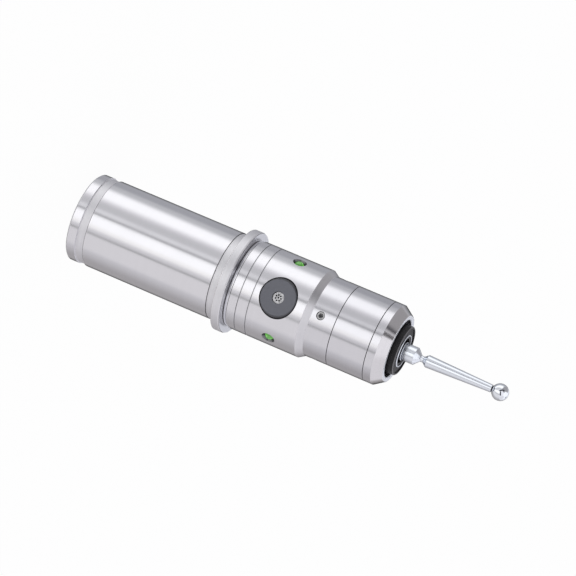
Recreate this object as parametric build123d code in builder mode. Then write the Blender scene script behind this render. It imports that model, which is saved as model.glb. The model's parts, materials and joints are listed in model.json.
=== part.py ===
from build123d import *
import os
from math import cos, radians, sin, sqrt

os.makedirs("parts", exist_ok=True)

# A three-dimensional edge finder with a straight shank, lamps and a sounder.
# It stands on the rear rim of its shank. +Z runs along it to the stylus ball, and the sounder
# disc faces -Y. The origin is the centre of the rear rim. All sizes are in millimetres.

# Fits and small edges
running_fit = 0.05
press_gap = 0.02
face_gap = 0.2
joint_edge = 0.15
cut_spare = 1.0

# Shank and flange
shank_r = 16.0
shank_edge = 0.5
rear_ring_length = 3.6
rear_groove_length = 3.1
rear_groove_r = 15.55
relief_length = 3.4
relief_r = 15.75
flange_r = 18.65
flange_thickness = 3.3
flange_edge_length = 0.6
flange_edge_depth = 0.25
shoulder_r = 15.7
shoulder_length = 1.2
spigot_r = 13.8
spigot_length = 7.0
seal_wire = 0.6
seal_land = 1.4

# Battery chamber and its plug
cell_r = 5.95
cell_length = 30.2
cell_nub_r = 1.9
cell_nub_height = 0.8
cell_edge = 0.6
cell_play = 0.3
cell_count = 2
sleeve_wall = 1.15
plug_recess = 0.6
plug_head_r = 10.4
plug_head_thickness = 2.4
plug_head_play = 0.2
plug_thread_r = 9.0
plug_thread_pitch = 1.5
plug_thread_turns = 3
plug_bore_spare = 0.5
slot_width = 2.0
slot_length = 13.0
slot_depth = 1.4
disc_contact_r = 5.5
disc_contact_thickness = 0.8
disc_stem_r = 1.2
disc_stem_length = 2.6
battery_wire_r = 0.35
battery_coil_r = 4.0
battery_coil_turns = 2
battery_spring_length = 3.5

# Body barrel
barrel_r = 16.15
barrel_length = 26.6
taper_length = 2.4
front_r = 14.63
front_length = 8.8
groove_width = 0.3
groove_depth = 0.15
groove_offsets = (3.4, 7.5)
barrel_bore_r = 13.5
barrel_bore_length = 27.0
bulkhead_thickness = 3.0
pocket_r = 12.0

# Sounder, its disc and the grille in it
sounder_offset = 16.5
disc_face_r = 6.4
disc_proud = 0.25
disc_slope = 0.3
disc_edge_r = 0.4
disc_gap = 0.3
disc_depth = 3.5
disc_rim_r = 8.6
disc_rim_thickness = 0.8
disc_rim_play = 0.15
grille_r = 2.1
grille_recess = 0.5
grille_thickness = 0.5
grille_ledge = 0.5
grille_hole_r = 0.3
grille_ring_r = 1.0
grille_ring_count = 7
sounder_side_gap = 0.7
sounder_play = 0.15
sounder_pin_spacing = 6.4
sounder_pin_reach = 2.9
lead_r = 0.25
lead_bend_r = 0.6

# Lamps
lamp_angles = (-60, 60, 180)
lamp_names = ("lamp_left", "lamp_right", "lamp_rear")
lamp_r = 1.5
lamp_tip_depth = 0.3
lamp_length = 5.3
lamp_flange_r = 1.9
lamp_flange_thickness = 1.0
lamp_lead_spacing = 2.54
lamp_lead_reach = 1.8
window_r = 2.55
window_depth = 1.4
window_floor_r = 1.7

# Inner carrier, circuit board and contacts
carrier_skirt = 2.4
carrier_web = 2.6
post_r = 1.5
post_x = 9.0
post_y = 4.5
peg_r = 0.8
peg_length = 1.6
cradle_width = 13.0
cradle_thickness = 1.2
cradle_top = 5.0
board_r = 11.8
board_thickness = 1.2
board_offset = 6.5
chip_width = 5.0
chip_depth = 4.0
chip_height = 1.2
chip_lead_gap = 1.5
rivet_head_r = 3.0
rivet_head_thickness = 0.6
rivet_proud = 0.2
rivet_r = 1.4
rivet_tail = 0.8
feed_wire_r = 0.4
bush_r = 3.0
bush_flange_r = 4.2
bush_flange_thickness = 0.8
bush_nose_r = 2.6
bush_nose_length = 1.5
stud_r = 1.0
stud_head_r = 2.2
stud_head_thickness = 0.6

# Seat housing, nose cap and the screws that clamp and centre them
adjusting_play = 0.6
adjusting_screw_r = 1.5
adjusting_screw_offset = 3.2
adjusting_screw_length = 2.9
adjusting_socket = 1.5
adjusting_socket_depth = 1.2
adjusting_screw_edge = 0.2
adjusting_screw_count = 4
clamp_screw_r = 1.0
clamp_head_r = 1.9
clamp_head_height = 2.0
clamp_socket = 1.5
clamp_socket_depth = 1.0
clamp_circle_r = 9.75
clamp_reach = 4.7
clamp_hole_spare = 0.6
clamp_screw_count = 4
housing_length = 13.8
housing_floor = 1.8
housing_play = 0.3
housing_back = 1.2
spring_bore_r = 8.0
cap_spigot_length = 2.7
cap_land = 3.0
cap_cone_length = 3.5
cap_face_r = 12.2
cap_hole_r = 10.5
cap_hole_edge = 0.3

# Sliding sleeve and gimbal
slide_bore_r = 12.2
over_travel = 5.0
pivot_depth = 5.7
sleeve_bore_r = 10.35
sleeve_front = 2.0
sleeve_web = 1.4
sleeve_web_bore_r = 3.4
gimbal_outer_r = 9.9
gimbal_inner_r = 7.6
gimbal_half_height = 1.4
pivot_pin_r = 0.75
pivot_pin_end = 0.3
return_wire_r = 0.45
return_coil_r = 6.9
return_turns = 5
centring_wire_r = 0.3
centring_coil_r = 6.1
centring_turns = 2
contact_wire_r = 0.2
contact_coil_r = 1.4
contact_turns = 6

# Stylus holder and stylus
hub_r = 6.9
hub_half_height = 3.4
hub_bore_r = 5.42
holder_flange_r = 7.9
holder_flange_thickness = 0.8
holder_tube_r = 6.0
face_proud = 2.2
bumper_r = 8.9
bumper_edge = 0.3
bumper_rim = 0.6
bumper_recess = 0.4
insulator_recess = 0.3
socket_r = 3.35
socket_proud = 0.1
socket_flange_r = 4.4
socket_flange_thickness = 1.1
socket_thread_r = 1.5
socket_thread_depth = 6.4
stem_base_r = 3.1
stem_base_length = 4.5
stem_base_edge = 0.2
stem_cone_length = 1.8
stem_neck_r = 1.1
stem_neck_length = 1.0
stem_flare_length = 1.4
stem_flare_r = 2.24
stem_taper_length = 24.1
stem_tip_r = 1.37
stem_pin_r = 0.8
stem_pin_length = 2.1
ball_r = 3.0
ball_undercut = 0.4

# Heights of the battery train, from the plug to the front cell's contact
head_seat_z = plug_recess + plug_head_thickness
plug_thread_length = plug_thread_pitch * plug_thread_turns
plug_end_z = head_seat_z + plug_thread_length
chamber_z = plug_end_z + plug_bore_spare
disc_contact_z = plug_end_z + face_gap
battery_spring_z = disc_contact_z + disc_contact_thickness
cells_z = battery_spring_z + battery_spring_length
cells_front_z = cells_z + cell_count * cell_length
web_z = cells_front_z + rivet_proud
deck_z = web_z + carrier_web
carrier_z = web_z - carrier_skirt

# The cells set the shank's length: its ground part takes what the other steps leave
ring_z = rear_ring_length
ground_z = ring_z + rear_groove_length
front_steps_length = relief_length + flange_thickness + shoulder_length + spigot_length
ground_length = carrier_z - face_gap - front_steps_length - ground_z

# Heights along the axis
relief_z = ground_z + ground_length
flange_z = relief_z + relief_length
shoulder_z = flange_z + flange_thickness
barrel_z = shoulder_z + shoulder_length
spigot_z = barrel_z + spigot_length
taper_z = barrel_z + barrel_length
front_z = taper_z + taper_length
housing_z = front_z + front_length
cap_z = housing_z + housing_length
cone_z = cap_z + cap_land
nose_z = cone_z + cap_cone_length

# Heights of the lamps, the sounder and the board
sounder_z = barrel_z + sounder_offset
board_z = sounder_z + board_offset
board_top_z = board_z + board_thickness
bulkhead_z = barrel_z + barrel_bore_length
pocket_z = bulkhead_z + bulkhead_thickness

# Heights of the front mechanism
housing_back_z = pocket_z + housing_play
spring_floor_z = housing_back_z + housing_back
slide_floor_z = housing_z + housing_floor
pivot_z = nose_z - pivot_depth
sleeve_front_z = pivot_z + sleeve_front
sleeve_back_z = slide_floor_z + over_travel + face_gap
web_front_z = sleeve_back_z + sleeve_web
hub_back_z = pivot_z - hub_half_height
hub_front_z = pivot_z + hub_half_height
face_z = nose_z + face_proud
socket_back_z = hub_back_z - socket_flange_thickness
stem_z = face_z + socket_proud
stem_cone_z = stem_z + stem_base_length
stem_neck_z = stem_cone_z + stem_cone_length
stem_flare_z = stem_neck_z + stem_neck_length
stem_taper_z = stem_flare_z + stem_flare_length
stem_tip_z = stem_taper_z + stem_taper_length
ball_z = stem_tip_z + ball_undercut + sqrt(ball_r**2 - stem_tip_r**2)

# Radii that follow from the sizes above
sleeve_inner_r = cell_r + cell_play
sleeve_outer_r = sleeve_inner_r + sleeve_wall
chamber_r = sleeve_outer_r + running_fit
seal_groove_r = spigot_r - 2 * seal_wire
disc_face_y = -(barrel_r + disc_proud)
disc_rim_y = disc_face_y + disc_depth
disc_cone_r = disc_face_r + disc_slope * disc_depth
sounder_front_y = disc_rim_y + disc_rim_thickness
sounder_back_y = -(rivet_r + cradle_thickness)
sounder_depth = sounder_back_y - sounder_front_y
cap_spigot_r = (slide_bore_r + front_r) / 2
lamp_tip_r = barrel_r - lamp_tip_depth
lamp_base_r = lamp_tip_r - lamp_length
lamp_lead_r = lamp_base_r - lamp_lead_reach
chip_y = lamp_lead_r - lead_r - chip_lead_gap - chip_depth / 2
spigot_play_r = pocket_r - adjusting_play
adjusting_z = front_z + adjusting_screw_offset
slide_r = slide_bore_r - running_fit

# The sounder fits between the leads of the two front lamps
front_lamp = radians(max(lamp_angles[:2]))
front_lead_x = lamp_lead_r * sin(front_lamp) - lamp_lead_spacing / 2 * cos(front_lamp)
sounder_r = front_lead_x - lead_r - sounder_side_gap

CENTRED_UP = (Align.CENTER, Align.CENTER, Align.MIN)


# Half of a turned shape: radius and height points, closed into a face
def half_section(points):
    with BuildSketch(Plane.XZ) as section:
        with BuildLine():
            Polyline(*points, close=True)
        make_face()
    return section.sketch


# A plane that faces outward at an angle from -Y, at a height and a distance from the axis
def radial_plane(angle, height, distance):
    outward = Vector(sin(radians(angle)), -cos(radians(angle)), 0)
    return Plane(origin=outward * distance + Vector(0, 0, height), x_dir=(0, 0, 1), z_dir=outward)


# A plane that faces -Y, at a depth across the body, with the sounder's centre as its origin
def sounder_plane(depth):
    return Plane(origin=(0, depth, sounder_z), x_dir=(1, 0, 0), z_dir=(0, -1, 0))


# The section across the start of a wire
def wire_section(path, wire_r):
    with BuildSketch(Plane(origin=path @ 0, z_dir=path % 0)) as section:
        Circle(wire_r)
    return section.sketch


# A round wire that runs through corners with a small bend
def bent_wire(corners, wire_r):
    with BuildLine() as route:
        FilletPolyline(*corners, radius=lead_bend_r)
    return sweep(wire_section(route.wire(), wire_r), path=route.wire(), mode=Mode.PRIVATE)


# A coil spring between two heights
def coil_spring(low, high, coil_r, wire_r, turns):
    lift = high - low - 2 * wire_r
    with BuildLine() as route:
        Helix(pitch=lift / turns, height=lift, radius=coil_r, center=(0, 0, low + wire_r))
    wire = route.wire()
    return sweep(wire_section(wire, wire_r), path=wire, is_frenet=True, mode=Mode.PRIVATE)


# A rubber ring in a groove
def seal_ring(groove_r, wire_r, height):
    with BuildPart() as ring:
        with Locations((0, 0, height)):
            Torus(groove_r + wire_r, wire_r)
    return ring


# Shank: one turned piece with the flange, the seat for the body and the battery chamber
seal_centre_z = barrel_z + seal_land + seal_wire
with BuildPart() as shank:
    revolve(
        half_section(
            [
                (plug_head_r + plug_head_play, 0),
                (shank_r - shank_edge, 0),
                (shank_r, shank_edge),
                (shank_r, ring_z),
                (rear_groove_r, ring_z + joint_edge),
                (rear_groove_r, ground_z - joint_edge),
                (shank_r, ground_z),
                (shank_r, relief_z),
                (relief_r, relief_z + joint_edge),
                (relief_r, flange_z),
                (flange_r, flange_z),
                (flange_r, shoulder_z - flange_edge_length),
                (flange_r - flange_edge_depth, shoulder_z),
                (shoulder_r, shoulder_z),
                (shoulder_r, barrel_z),
                (spigot_r, barrel_z),
                (spigot_r, seal_centre_z - seal_wire - running_fit),
                (seal_groove_r, seal_centre_z - seal_wire - running_fit),
                (seal_groove_r, seal_centre_z + seal_wire + running_fit),
                (spigot_r, seal_centre_z + seal_wire + running_fit),
                (spigot_r, spigot_z),
                (chamber_r, spigot_z),
                (chamber_r, chamber_z),
                (plug_thread_r + running_fit, chamber_z),
                (plug_thread_r + running_fit, head_seat_z),
                (plug_head_r + plug_head_play, head_seat_z),
            ]
        ),
        axis=Axis.Z,
    )

# Seal between the shank and the body
body_seal = seal_ring(seal_groove_r, seal_wire - press_gap, seal_centre_z)

# Battery plug: screws into the rear, with a coin slot, a seal and a bore for the contact disc
plug_seal_z = plug_recess + plug_head_thickness / 2
plug_seal_r = plug_head_r - 2 * seal_wire + plug_head_play
with BuildPart() as battery_plug:
    revolve(
        half_section(
            [
                (0, plug_recess),
                (plug_head_r - joint_edge, plug_recess),
                (plug_head_r, plug_recess + joint_edge),
                (plug_head_r, plug_seal_z - seal_wire - running_fit),
                (plug_seal_r, plug_seal_z - seal_wire - running_fit),
                (plug_seal_r, plug_seal_z + seal_wire + running_fit),
                (plug_head_r, plug_seal_z + seal_wire + running_fit),
                (plug_head_r, head_seat_z),
                (plug_thread_r, head_seat_z),
                (plug_thread_r, plug_end_z - joint_edge),
                (plug_thread_r - joint_edge, plug_end_z),
                (disc_stem_r + running_fit, plug_end_z),
                (disc_stem_r + running_fit, plug_end_z - disc_stem_length),
                (0, plug_end_z - disc_stem_length),
            ]
        ),
        axis=Axis.Z,
    )
    with BuildSketch(Plane.XY.offset(plug_recess)):
        SlotOverall(slot_length, slot_width)
    extrude(amount=slot_depth, mode=Mode.SUBTRACT)

# Seal in the plug's rim
plug_seal = seal_ring(plug_seal_r, seal_wire - press_gap, plug_seal_z)

# Contact disc that presses on the cells: it swivels in the plug, so that it doesn't turn
with BuildPart() as contact_disc:
    with Locations((0, 0, disc_contact_z)):
        Cylinder(disc_contact_r, disc_contact_thickness, align=CENTRED_UP)
    with Locations((0, 0, disc_contact_z - disc_stem_length + face_gap)):
        Cylinder(disc_stem_r, disc_stem_length, align=CENTRED_UP)

# Battery spring between the contact disc and the rear cell
with BuildPart() as battery_spring:
    add(
        coil_spring(
            battery_spring_z,
            cells_z,
            battery_coil_r,
            battery_wire_r,
            battery_coil_turns,
        )
    )

# Round dry cells, nub forward
cells = []
for index in range(cell_count):
    start_z = cells_z + index * cell_length
    shoulder = start_z + cell_length - cell_nub_height
    with BuildPart() as cell:
        revolve(
            half_section(
                [
                    (0, start_z),
                    (cell_r - cell_edge, start_z),
                    (cell_r, start_z + cell_edge),
                    (cell_r, shoulder - cell_edge),
                    (cell_r - cell_edge, shoulder),
                    (cell_nub_r, shoulder),
                    (cell_nub_r, start_z + cell_length),
                    (0, start_z + cell_length),
                ]
            ),
            axis=Axis.Z,
        )
    cells.append(cell)

# Insulating sleeve round the cells
with BuildPart() as battery_sleeve:
    with BuildSketch(Plane.XY.offset(chamber_z)):
        Circle(sleeve_outer_r)
        Circle(sleeve_inner_r, mode=Mode.SUBTRACT)
    extrude(amount=web_z - chamber_z)

# Body: barrel with lamp windows, the sounder's conical seat and the front pocket
window_bore_r = lamp_r + running_fit
with BuildPart() as body:
    revolve(
        half_section(
            [
                (spigot_r + running_fit, barrel_z),
                (barrel_r - joint_edge, barrel_z),
                (barrel_r, barrel_z + joint_edge),
                (barrel_r, taper_z),
                (front_r, front_z),
                (front_r, housing_z - joint_edge),
                (front_r - joint_edge, housing_z),
                (pocket_r, housing_z),
                (pocket_r, pocket_z),
                (bush_r + press_gap, pocket_z),
                (bush_r + press_gap, bulkhead_z),
                (barrel_bore_r, bulkhead_z),
                (barrel_bore_r, spigot_z + face_gap),
                (spigot_r + running_fit, spigot_z + face_gap),
            ]
        ),
        axis=Axis.Z,
    )
    for offset_z in groove_offsets:
        with BuildSketch(Plane.XZ) as engraved_line:
            with Locations((barrel_r, barrel_z + offset_z)):
                Rectangle(2 * groove_depth, groove_width)
        revolve(axis=Axis.Z, mode=Mode.SUBTRACT)
    for angle in lamp_angles:
        with Locations(radial_plane(angle, sounder_z, 0)):
            Cylinder(window_bore_r, barrel_r + cut_spare, align=CENTRED_UP, mode=Mode.SUBTRACT)
        with Locations(radial_plane(angle, sounder_z, barrel_r - window_depth)):
            Cone(
                window_floor_r,
                window_r + (window_r - window_floor_r),
                2 * window_depth,
                align=CENTRED_UP,
                mode=Mode.SUBTRACT,
            )
    with Locations(sounder_plane(disc_rim_y)):
        Cone(
            disc_cone_r + disc_gap,
            disc_face_r + disc_gap,
            disc_depth,
            align=CENTRED_UP,
            mode=Mode.SUBTRACT,
        )
    with Locations(sounder_plane(0)):
        Cylinder(disc_rim_r + disc_rim_play, -disc_rim_y, align=CENTRED_UP, mode=Mode.SUBTRACT)
    for index in range(adjusting_screw_count):
        angle = index * 360 / adjusting_screw_count
        with Locations(radial_plane(angle, adjusting_z, spigot_play_r)):
            Cylinder(adjusting_screw_r + press_gap, barrel_r, align=CENTRED_UP, mode=Mode.SUBTRACT)
    with Locations((0, 0, bulkhead_z)):
        with PolarLocations(clamp_circle_r, clamp_screw_count, start_angle=180 / clamp_screw_count):
            Cylinder(
                clamp_screw_r + adjusting_play,
                bulkhead_thickness,
                align=CENTRED_UP,
                mode=Mode.SUBTRACT,
            )

# Sounder disc: a flat face on a tapered plug, held from inside by its rim
grille_seat_y = disc_face_y + grille_recess + grille_thickness
with BuildPart() as sounder_disc:
    with Locations(sounder_plane(disc_rim_y)):
        Cone(disc_cone_r, disc_face_r, disc_depth, align=CENTRED_UP)
    fillet(sounder_disc.edges().sort_by(Axis.Y)[0], disc_edge_r)
    with Locations(sounder_plane(sounder_front_y)):
        Cylinder(disc_rim_r, disc_rim_thickness, align=CENTRED_UP)
        Cylinder(grille_r - grille_ledge, disc_depth * 2, align=CENTRED_UP, mode=Mode.SUBTRACT)
    with Locations(sounder_plane(grille_seat_y)):
        Cylinder(
            grille_r + press_gap,
            grille_recess + grille_thickness + cut_spare,
            align=CENTRED_UP,
            mode=Mode.SUBTRACT,
        )

# Perforated metal insert that lets the sound out
with BuildPart() as sounder_grille:
    with BuildSketch(sounder_plane(grille_seat_y)):
        Circle(grille_r)
        Circle(grille_hole_r, mode=Mode.SUBTRACT)
        with PolarLocations(grille_ring_r, grille_ring_count):
            Circle(grille_hole_r, mode=Mode.SUBTRACT)
    extrude(amount=grille_thickness)

# Sounder: a drum with two leads that turn up to the board
sounder_leads = []
for side in (-1, 1):
    lead_x = side * sounder_pin_spacing / 2
    sounder_leads.append(
        bent_wire(
            [
                (lead_x, sounder_back_y - lead_r, sounder_z),
                (lead_x, sounder_back_y + sounder_pin_reach, sounder_z),
                (lead_x, sounder_back_y + sounder_pin_reach, board_top_z),
            ],
            lead_r,
        )
    )
with BuildPart() as sounder:
    with Locations(sounder_plane(sounder_back_y)):
        Cylinder(sounder_r, sounder_depth, align=CENTRED_UP)
    with Locations(sounder_plane(sounder_front_y + sounder_depth / 2)):
        Cylinder(grille_r - grille_ledge, sounder_depth, align=CENTRED_UP, mode=Mode.SUBTRACT)
    add(sounder_leads)

# Lamps: domed light-emitting diodes whose leads turn up to the board
lamps = []
lamp_lead_places = []
for angle in lamp_angles:
    outward = Vector(sin(radians(angle)), -cos(radians(angle)), 0)
    sideways = Vector(cos(radians(angle)), sin(radians(angle)), 0)
    lamp_leads = []
    for side in (-1, 1):
        aside = sideways * (side * lamp_lead_spacing / 2)
        start = outward * (lamp_base_r + lead_r) + aside
        turn = outward * lamp_lead_r + aside
        lamp_lead_places.append((turn.X, turn.Y))
        lamp_leads.append(
            bent_wire(
                [
                    (start.X, start.Y, sounder_z),
                    (turn.X, turn.Y, sounder_z),
                    (turn.X, turn.Y, board_top_z),
                ],
                lead_r,
            )
        )
    with BuildPart() as lamp:
        with Locations(radial_plane(angle, sounder_z, lamp_base_r)):
            Cylinder(lamp_flange_r, lamp_flange_thickness, align=CENTRED_UP)
            Cylinder(lamp_r, lamp_length - lamp_r, align=CENTRED_UP)
        with Locations(radial_plane(angle, sounder_z, lamp_tip_r - lamp_r)):
            Sphere(lamp_r)
        add(lamp_leads)
    lamps.append(lamp)

# Carrier: a moulded piece with the cells' end wall, a cradle for the sounder and two posts
with BuildPart() as carrier:
    revolve(
        half_section(
            [
                (chamber_r, carrier_z),
                (barrel_bore_r - face_gap, carrier_z),
                (barrel_bore_r - face_gap, deck_z),
                (rivet_r + press_gap, deck_z),
                (rivet_r + press_gap, web_z + rivet_head_thickness - rivet_proud),
                (rivet_head_r + press_gap, web_z + rivet_head_thickness - rivet_proud),
                (rivet_head_r + press_gap, web_z),
                (chamber_r, web_z),
            ]
        ),
        axis=Axis.Z,
    )
    with BuildSketch(Plane.XY.offset(deck_z)):
        with Locations((0, sounder_back_y + cradle_thickness / 2)):
            Rectangle(cradle_width, cradle_thickness)
    extrude(amount=sounder_z + cradle_top - deck_z)
    for side in (-1, 1):
        with Locations((side * post_x, post_y, deck_z)):
            Cylinder(post_r, board_z - deck_z, align=CENTRED_UP)
            Cylinder(peg_r, board_z - deck_z + peg_length, align=CENTRED_UP)
        with Locations((side * sounder_pin_spacing / 2, sounder_back_y, sounder_z)):
            with Locations(Rotation(90, 0, 0)):
                Cylinder(2 * lead_r, 3 * cradle_thickness, mode=Mode.SUBTRACT)
    with Locations(sounder_plane(sounder_back_y)):
        Cylinder(sounder_r + sounder_play, barrel_r, align=CENTRED_UP, mode=Mode.SUBTRACT)
    with Locations(sounder_plane(sounder_front_y + sounder_play)):
        Cylinder(disc_rim_r + disc_gap, barrel_r, align=CENTRED_UP, mode=Mode.SUBTRACT)

# Rivet that the front cell touches
with BuildPart() as cell_rivet:
    with Locations((0, 0, cells_front_z)):
        Cylinder(rivet_head_r, rivet_head_thickness, align=CENTRED_UP)
        Cylinder(rivet_r, deck_z - cells_front_z + rivet_tail, align=CENTRED_UP)

# Feed wire from the rivet to the board
feed_wire_x = rivet_r + feed_wire_r + press_gap
with BuildPart() as feed_wire:
    with Locations((feed_wire_x, 0, deck_z + press_gap)):
        Cylinder(feed_wire_r, board_top_z - deck_z, align=CENTRED_UP)

# Circuit board, with holes for the pegs, the leads, the feed wire and the stud. It stops short
# of the sounder disc's rim
with BuildPart() as circuit_board:
    with BuildSketch(Plane.XY.offset(board_z)):
        Circle(board_r)
        Circle(stud_r + running_fit, mode=Mode.SUBTRACT)
        with Locations((-post_x, post_y), (post_x, post_y)):
            Circle(peg_r + running_fit, mode=Mode.SUBTRACT)
        with Locations((feed_wire_x, 0)):
            Circle(feed_wire_r + running_fit, mode=Mode.SUBTRACT)
        with Locations(*lamp_lead_places):
            Circle(lead_r + running_fit, mode=Mode.SUBTRACT)
        with Locations(
            (-sounder_pin_spacing / 2, sounder_back_y + sounder_pin_reach),
            (sounder_pin_spacing / 2, sounder_back_y + sounder_pin_reach),
        ):
            Circle(lead_r + running_fit, mode=Mode.SUBTRACT)
        with Locations((0, sounder_front_y + face_gap)):
            Rectangle(
                2 * board_r,
                board_r,
                align=(Align.CENTER, Align.MAX),
                mode=Mode.SUBTRACT,
            )
    extrude(amount=board_thickness)

# Control chip under the board
with BuildPart() as control_chip:
    with Locations((0, chip_y, board_z - chip_height)):
        Box(chip_width, chip_depth, chip_height, align=CENTRED_UP)

# Insulating bush in the bulkhead
with BuildPart() as bulkhead_bush:
    revolve(
        half_section(
            [
                (stud_r + press_gap, bulkhead_z - bush_flange_thickness),
                (bush_flange_r, bulkhead_z - bush_flange_thickness),
                (bush_flange_r, bulkhead_z),
                (bush_r, bulkhead_z),
                (bush_r, pocket_z),
                (bush_nose_r, pocket_z),
                (bush_nose_r, pocket_z + bush_nose_length),
                (stud_r + press_gap, pocket_z + bush_nose_length),
            ]
        ),
        axis=Axis.Z,
    )

# Contact stud from the board to the contact spring
stud_head_z = pocket_z + bush_nose_length
with BuildPart() as contact_stud:
    with Locations((0, 0, board_z)):
        Cylinder(stud_r, stud_head_z - board_z, align=CENTRED_UP)
    with Locations((0, 0, stud_head_z)):
        Cylinder(stud_head_r, stud_head_thickness, align=CENTRED_UP)

# Contact spring that carries the signal from the stylus socket
with BuildPart() as contact_spring:
    add(
        coil_spring(
            stud_head_z + stud_head_thickness,
            socket_back_z,
            contact_coil_r,
            contact_wire_r,
            contact_turns,
        )
    )

# Seat housing: centred in the body's pocket by the adjusting screws, bored for the sleeve
with BuildPart() as seat_housing:
    revolve(
        half_section(
            [
                (bush_nose_r + 2 * adjusting_play, housing_back_z),
                (spigot_play_r, housing_back_z),
                (spigot_play_r, housing_z),
                (front_r - joint_edge, housing_z),
                (front_r, housing_z + joint_edge),
                (front_r, cap_z - joint_edge),
                (front_r - joint_edge, cap_z),
                (cap_spigot_r, cap_z),
                (cap_spigot_r, cap_z + cap_spigot_length),
                (slide_bore_r, cap_z + cap_spigot_length),
                (slide_bore_r, slide_floor_z),
                (spring_bore_r, slide_floor_z),
                (spring_bore_r, spring_floor_z),
                (bush_nose_r + 2 * adjusting_play, spring_floor_z),
            ]
        ),
        axis=Axis.Z,
    )
    with Locations((0, 0, housing_back_z)):
        with PolarLocations(clamp_circle_r, clamp_screw_count, start_angle=180 / clamp_screw_count):
            Cylinder(
                clamp_screw_r + press_gap,
                clamp_reach + clamp_hole_spare,
                align=CENTRED_UP,
                mode=Mode.SUBTRACT,
            )

# Clamp screws: they hold the housing from behind the bulkhead
with BuildPart() as clamp_screws:
    with Locations((0, 0, bulkhead_z)):
        with PolarLocations(clamp_circle_r, clamp_screw_count, start_angle=180 / clamp_screw_count):
            Cylinder(
                clamp_screw_r,
                housing_back_z - bulkhead_z + clamp_reach,
                align=CENTRED_UP,
            )
    with BuildSketch(Plane.XY.offset(bulkhead_z)) as heads:
        with PolarLocations(clamp_circle_r, clamp_screw_count, start_angle=180 / clamp_screw_count):
            Circle(clamp_head_r)
    extrude(amount=-clamp_head_height)
    with BuildSketch(Plane.XY.offset(bulkhead_z - clamp_head_height)) as sockets:
        with PolarLocations(clamp_circle_r, clamp_screw_count, start_angle=180 / clamp_screw_count):
            RegularPolygon(clamp_socket / 2, 6, major_radius=False)
    extrude(amount=clamp_socket_depth, mode=Mode.SUBTRACT)

# Adjusting screws: socket set screws that shift the housing until the ball runs true
adjusting_planes = []
for index in range(adjusting_screw_count):
    angle = index * 360 / adjusting_screw_count
    adjusting_planes.append(radial_plane(angle, adjusting_z, spigot_play_r))
with BuildPart() as adjusting_screws:
    for plane in adjusting_planes:
        with Locations(plane):
            Cylinder(
                adjusting_screw_r,
                adjusting_screw_length - adjusting_screw_edge,
                align=CENTRED_UP,
            )
        with Locations(plane.offset(adjusting_screw_length - adjusting_screw_edge)):
            Cone(
                adjusting_screw_r,
                adjusting_screw_r - adjusting_screw_edge,
                adjusting_screw_edge,
                align=CENTRED_UP,
            )
        with BuildSketch(plane.offset(adjusting_screw_length)):
            RegularPolygon(adjusting_socket / 2, 6, major_radius=False)
        extrude(amount=-adjusting_socket_depth, mode=Mode.SUBTRACT)

# Nose cap: screwed on the housing, it stops the sleeve and leaves the stylus holder room to tilt
with BuildPart() as nose_cap:
    revolve(
        half_section(
            [
                (cap_spigot_r + press_gap, cap_z),
                (front_r - joint_edge, cap_z),
                (front_r, cap_z + joint_edge),
                (front_r, cone_z),
                (cap_face_r, nose_z),
                (cap_hole_r + cap_hole_edge, nose_z),
                (cap_hole_r, nose_z - cap_hole_edge),
                (cap_hole_r, cone_z),
                (cap_spigot_r + press_gap, cone_z),
            ]
        ),
        axis=Axis.Z,
    )

# Return spring behind the sleeve
with BuildPart() as return_spring:
    add(
        coil_spring(
            spring_floor_z,
            sleeve_back_z,
            return_coil_r,
            return_wire_r,
            return_turns,
        )
    )

# Sliding sleeve: gives way along the axis and carries the outer pivots
with BuildPart() as guide_sleeve:
    revolve(
        half_section(
            [
                (sleeve_web_bore_r, sleeve_back_z),
                (slide_r, sleeve_back_z),
                (slide_r, sleeve_front_z),
                (sleeve_bore_r, sleeve_front_z),
                (sleeve_bore_r, web_front_z),
                (sleeve_web_bore_r, web_front_z),
            ]
        ),
        axis=Axis.Z,
    )
    with Locations(radial_plane(90, pivot_z, 0)):
        Cylinder(pivot_pin_r + press_gap, 2 * slide_bore_r + cut_spare, mode=Mode.SUBTRACT)

# Centring spring between the sleeve's web and the stylus holder
with BuildPart() as centring_spring:
    add(
        coil_spring(
            web_front_z,
            hub_back_z,
            centring_coil_r,
            centring_wire_r,
            centring_turns,
        )
    )

# Outer pivot pins on X, fast in the sleeve
outer_pin_start = gimbal_inner_r + pivot_pin_end
with BuildPart() as outer_pins:
    for angle in (-90, 90):
        with Locations(radial_plane(angle, pivot_z, outer_pin_start)):
            Cylinder(pivot_pin_r, slide_r - pivot_pin_end - outer_pin_start, align=CENTRED_UP)

# Gimbal ring: turns on the outer pins and holds the inner ones
with BuildPart() as gimbal_ring:
    with BuildSketch(Plane.XY.offset(pivot_z - gimbal_half_height)):
        Circle(gimbal_outer_r)
        Circle(gimbal_inner_r, mode=Mode.SUBTRACT)
    extrude(amount=2 * gimbal_half_height)
    with Locations(radial_plane(90, pivot_z, 0)):
        Cylinder(pivot_pin_r + running_fit, 2 * gimbal_outer_r + cut_spare, mode=Mode.SUBTRACT)
    with Locations(radial_plane(0, pivot_z, 0)):
        Cylinder(pivot_pin_r + press_gap, 2 * gimbal_outer_r + cut_spare, mode=Mode.SUBTRACT)

# Inner pivot pins on Y, fast in the gimbal ring
inner_pin_start = hub_bore_r + pivot_pin_end
with BuildPart() as inner_pins:
    for angle in (0, 180):
        with Locations(radial_plane(angle, pivot_z, inner_pin_start)):
            Cylinder(pivot_pin_r, gimbal_outer_r - pivot_pin_end - inner_pin_start, align=CENTRED_UP)

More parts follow.
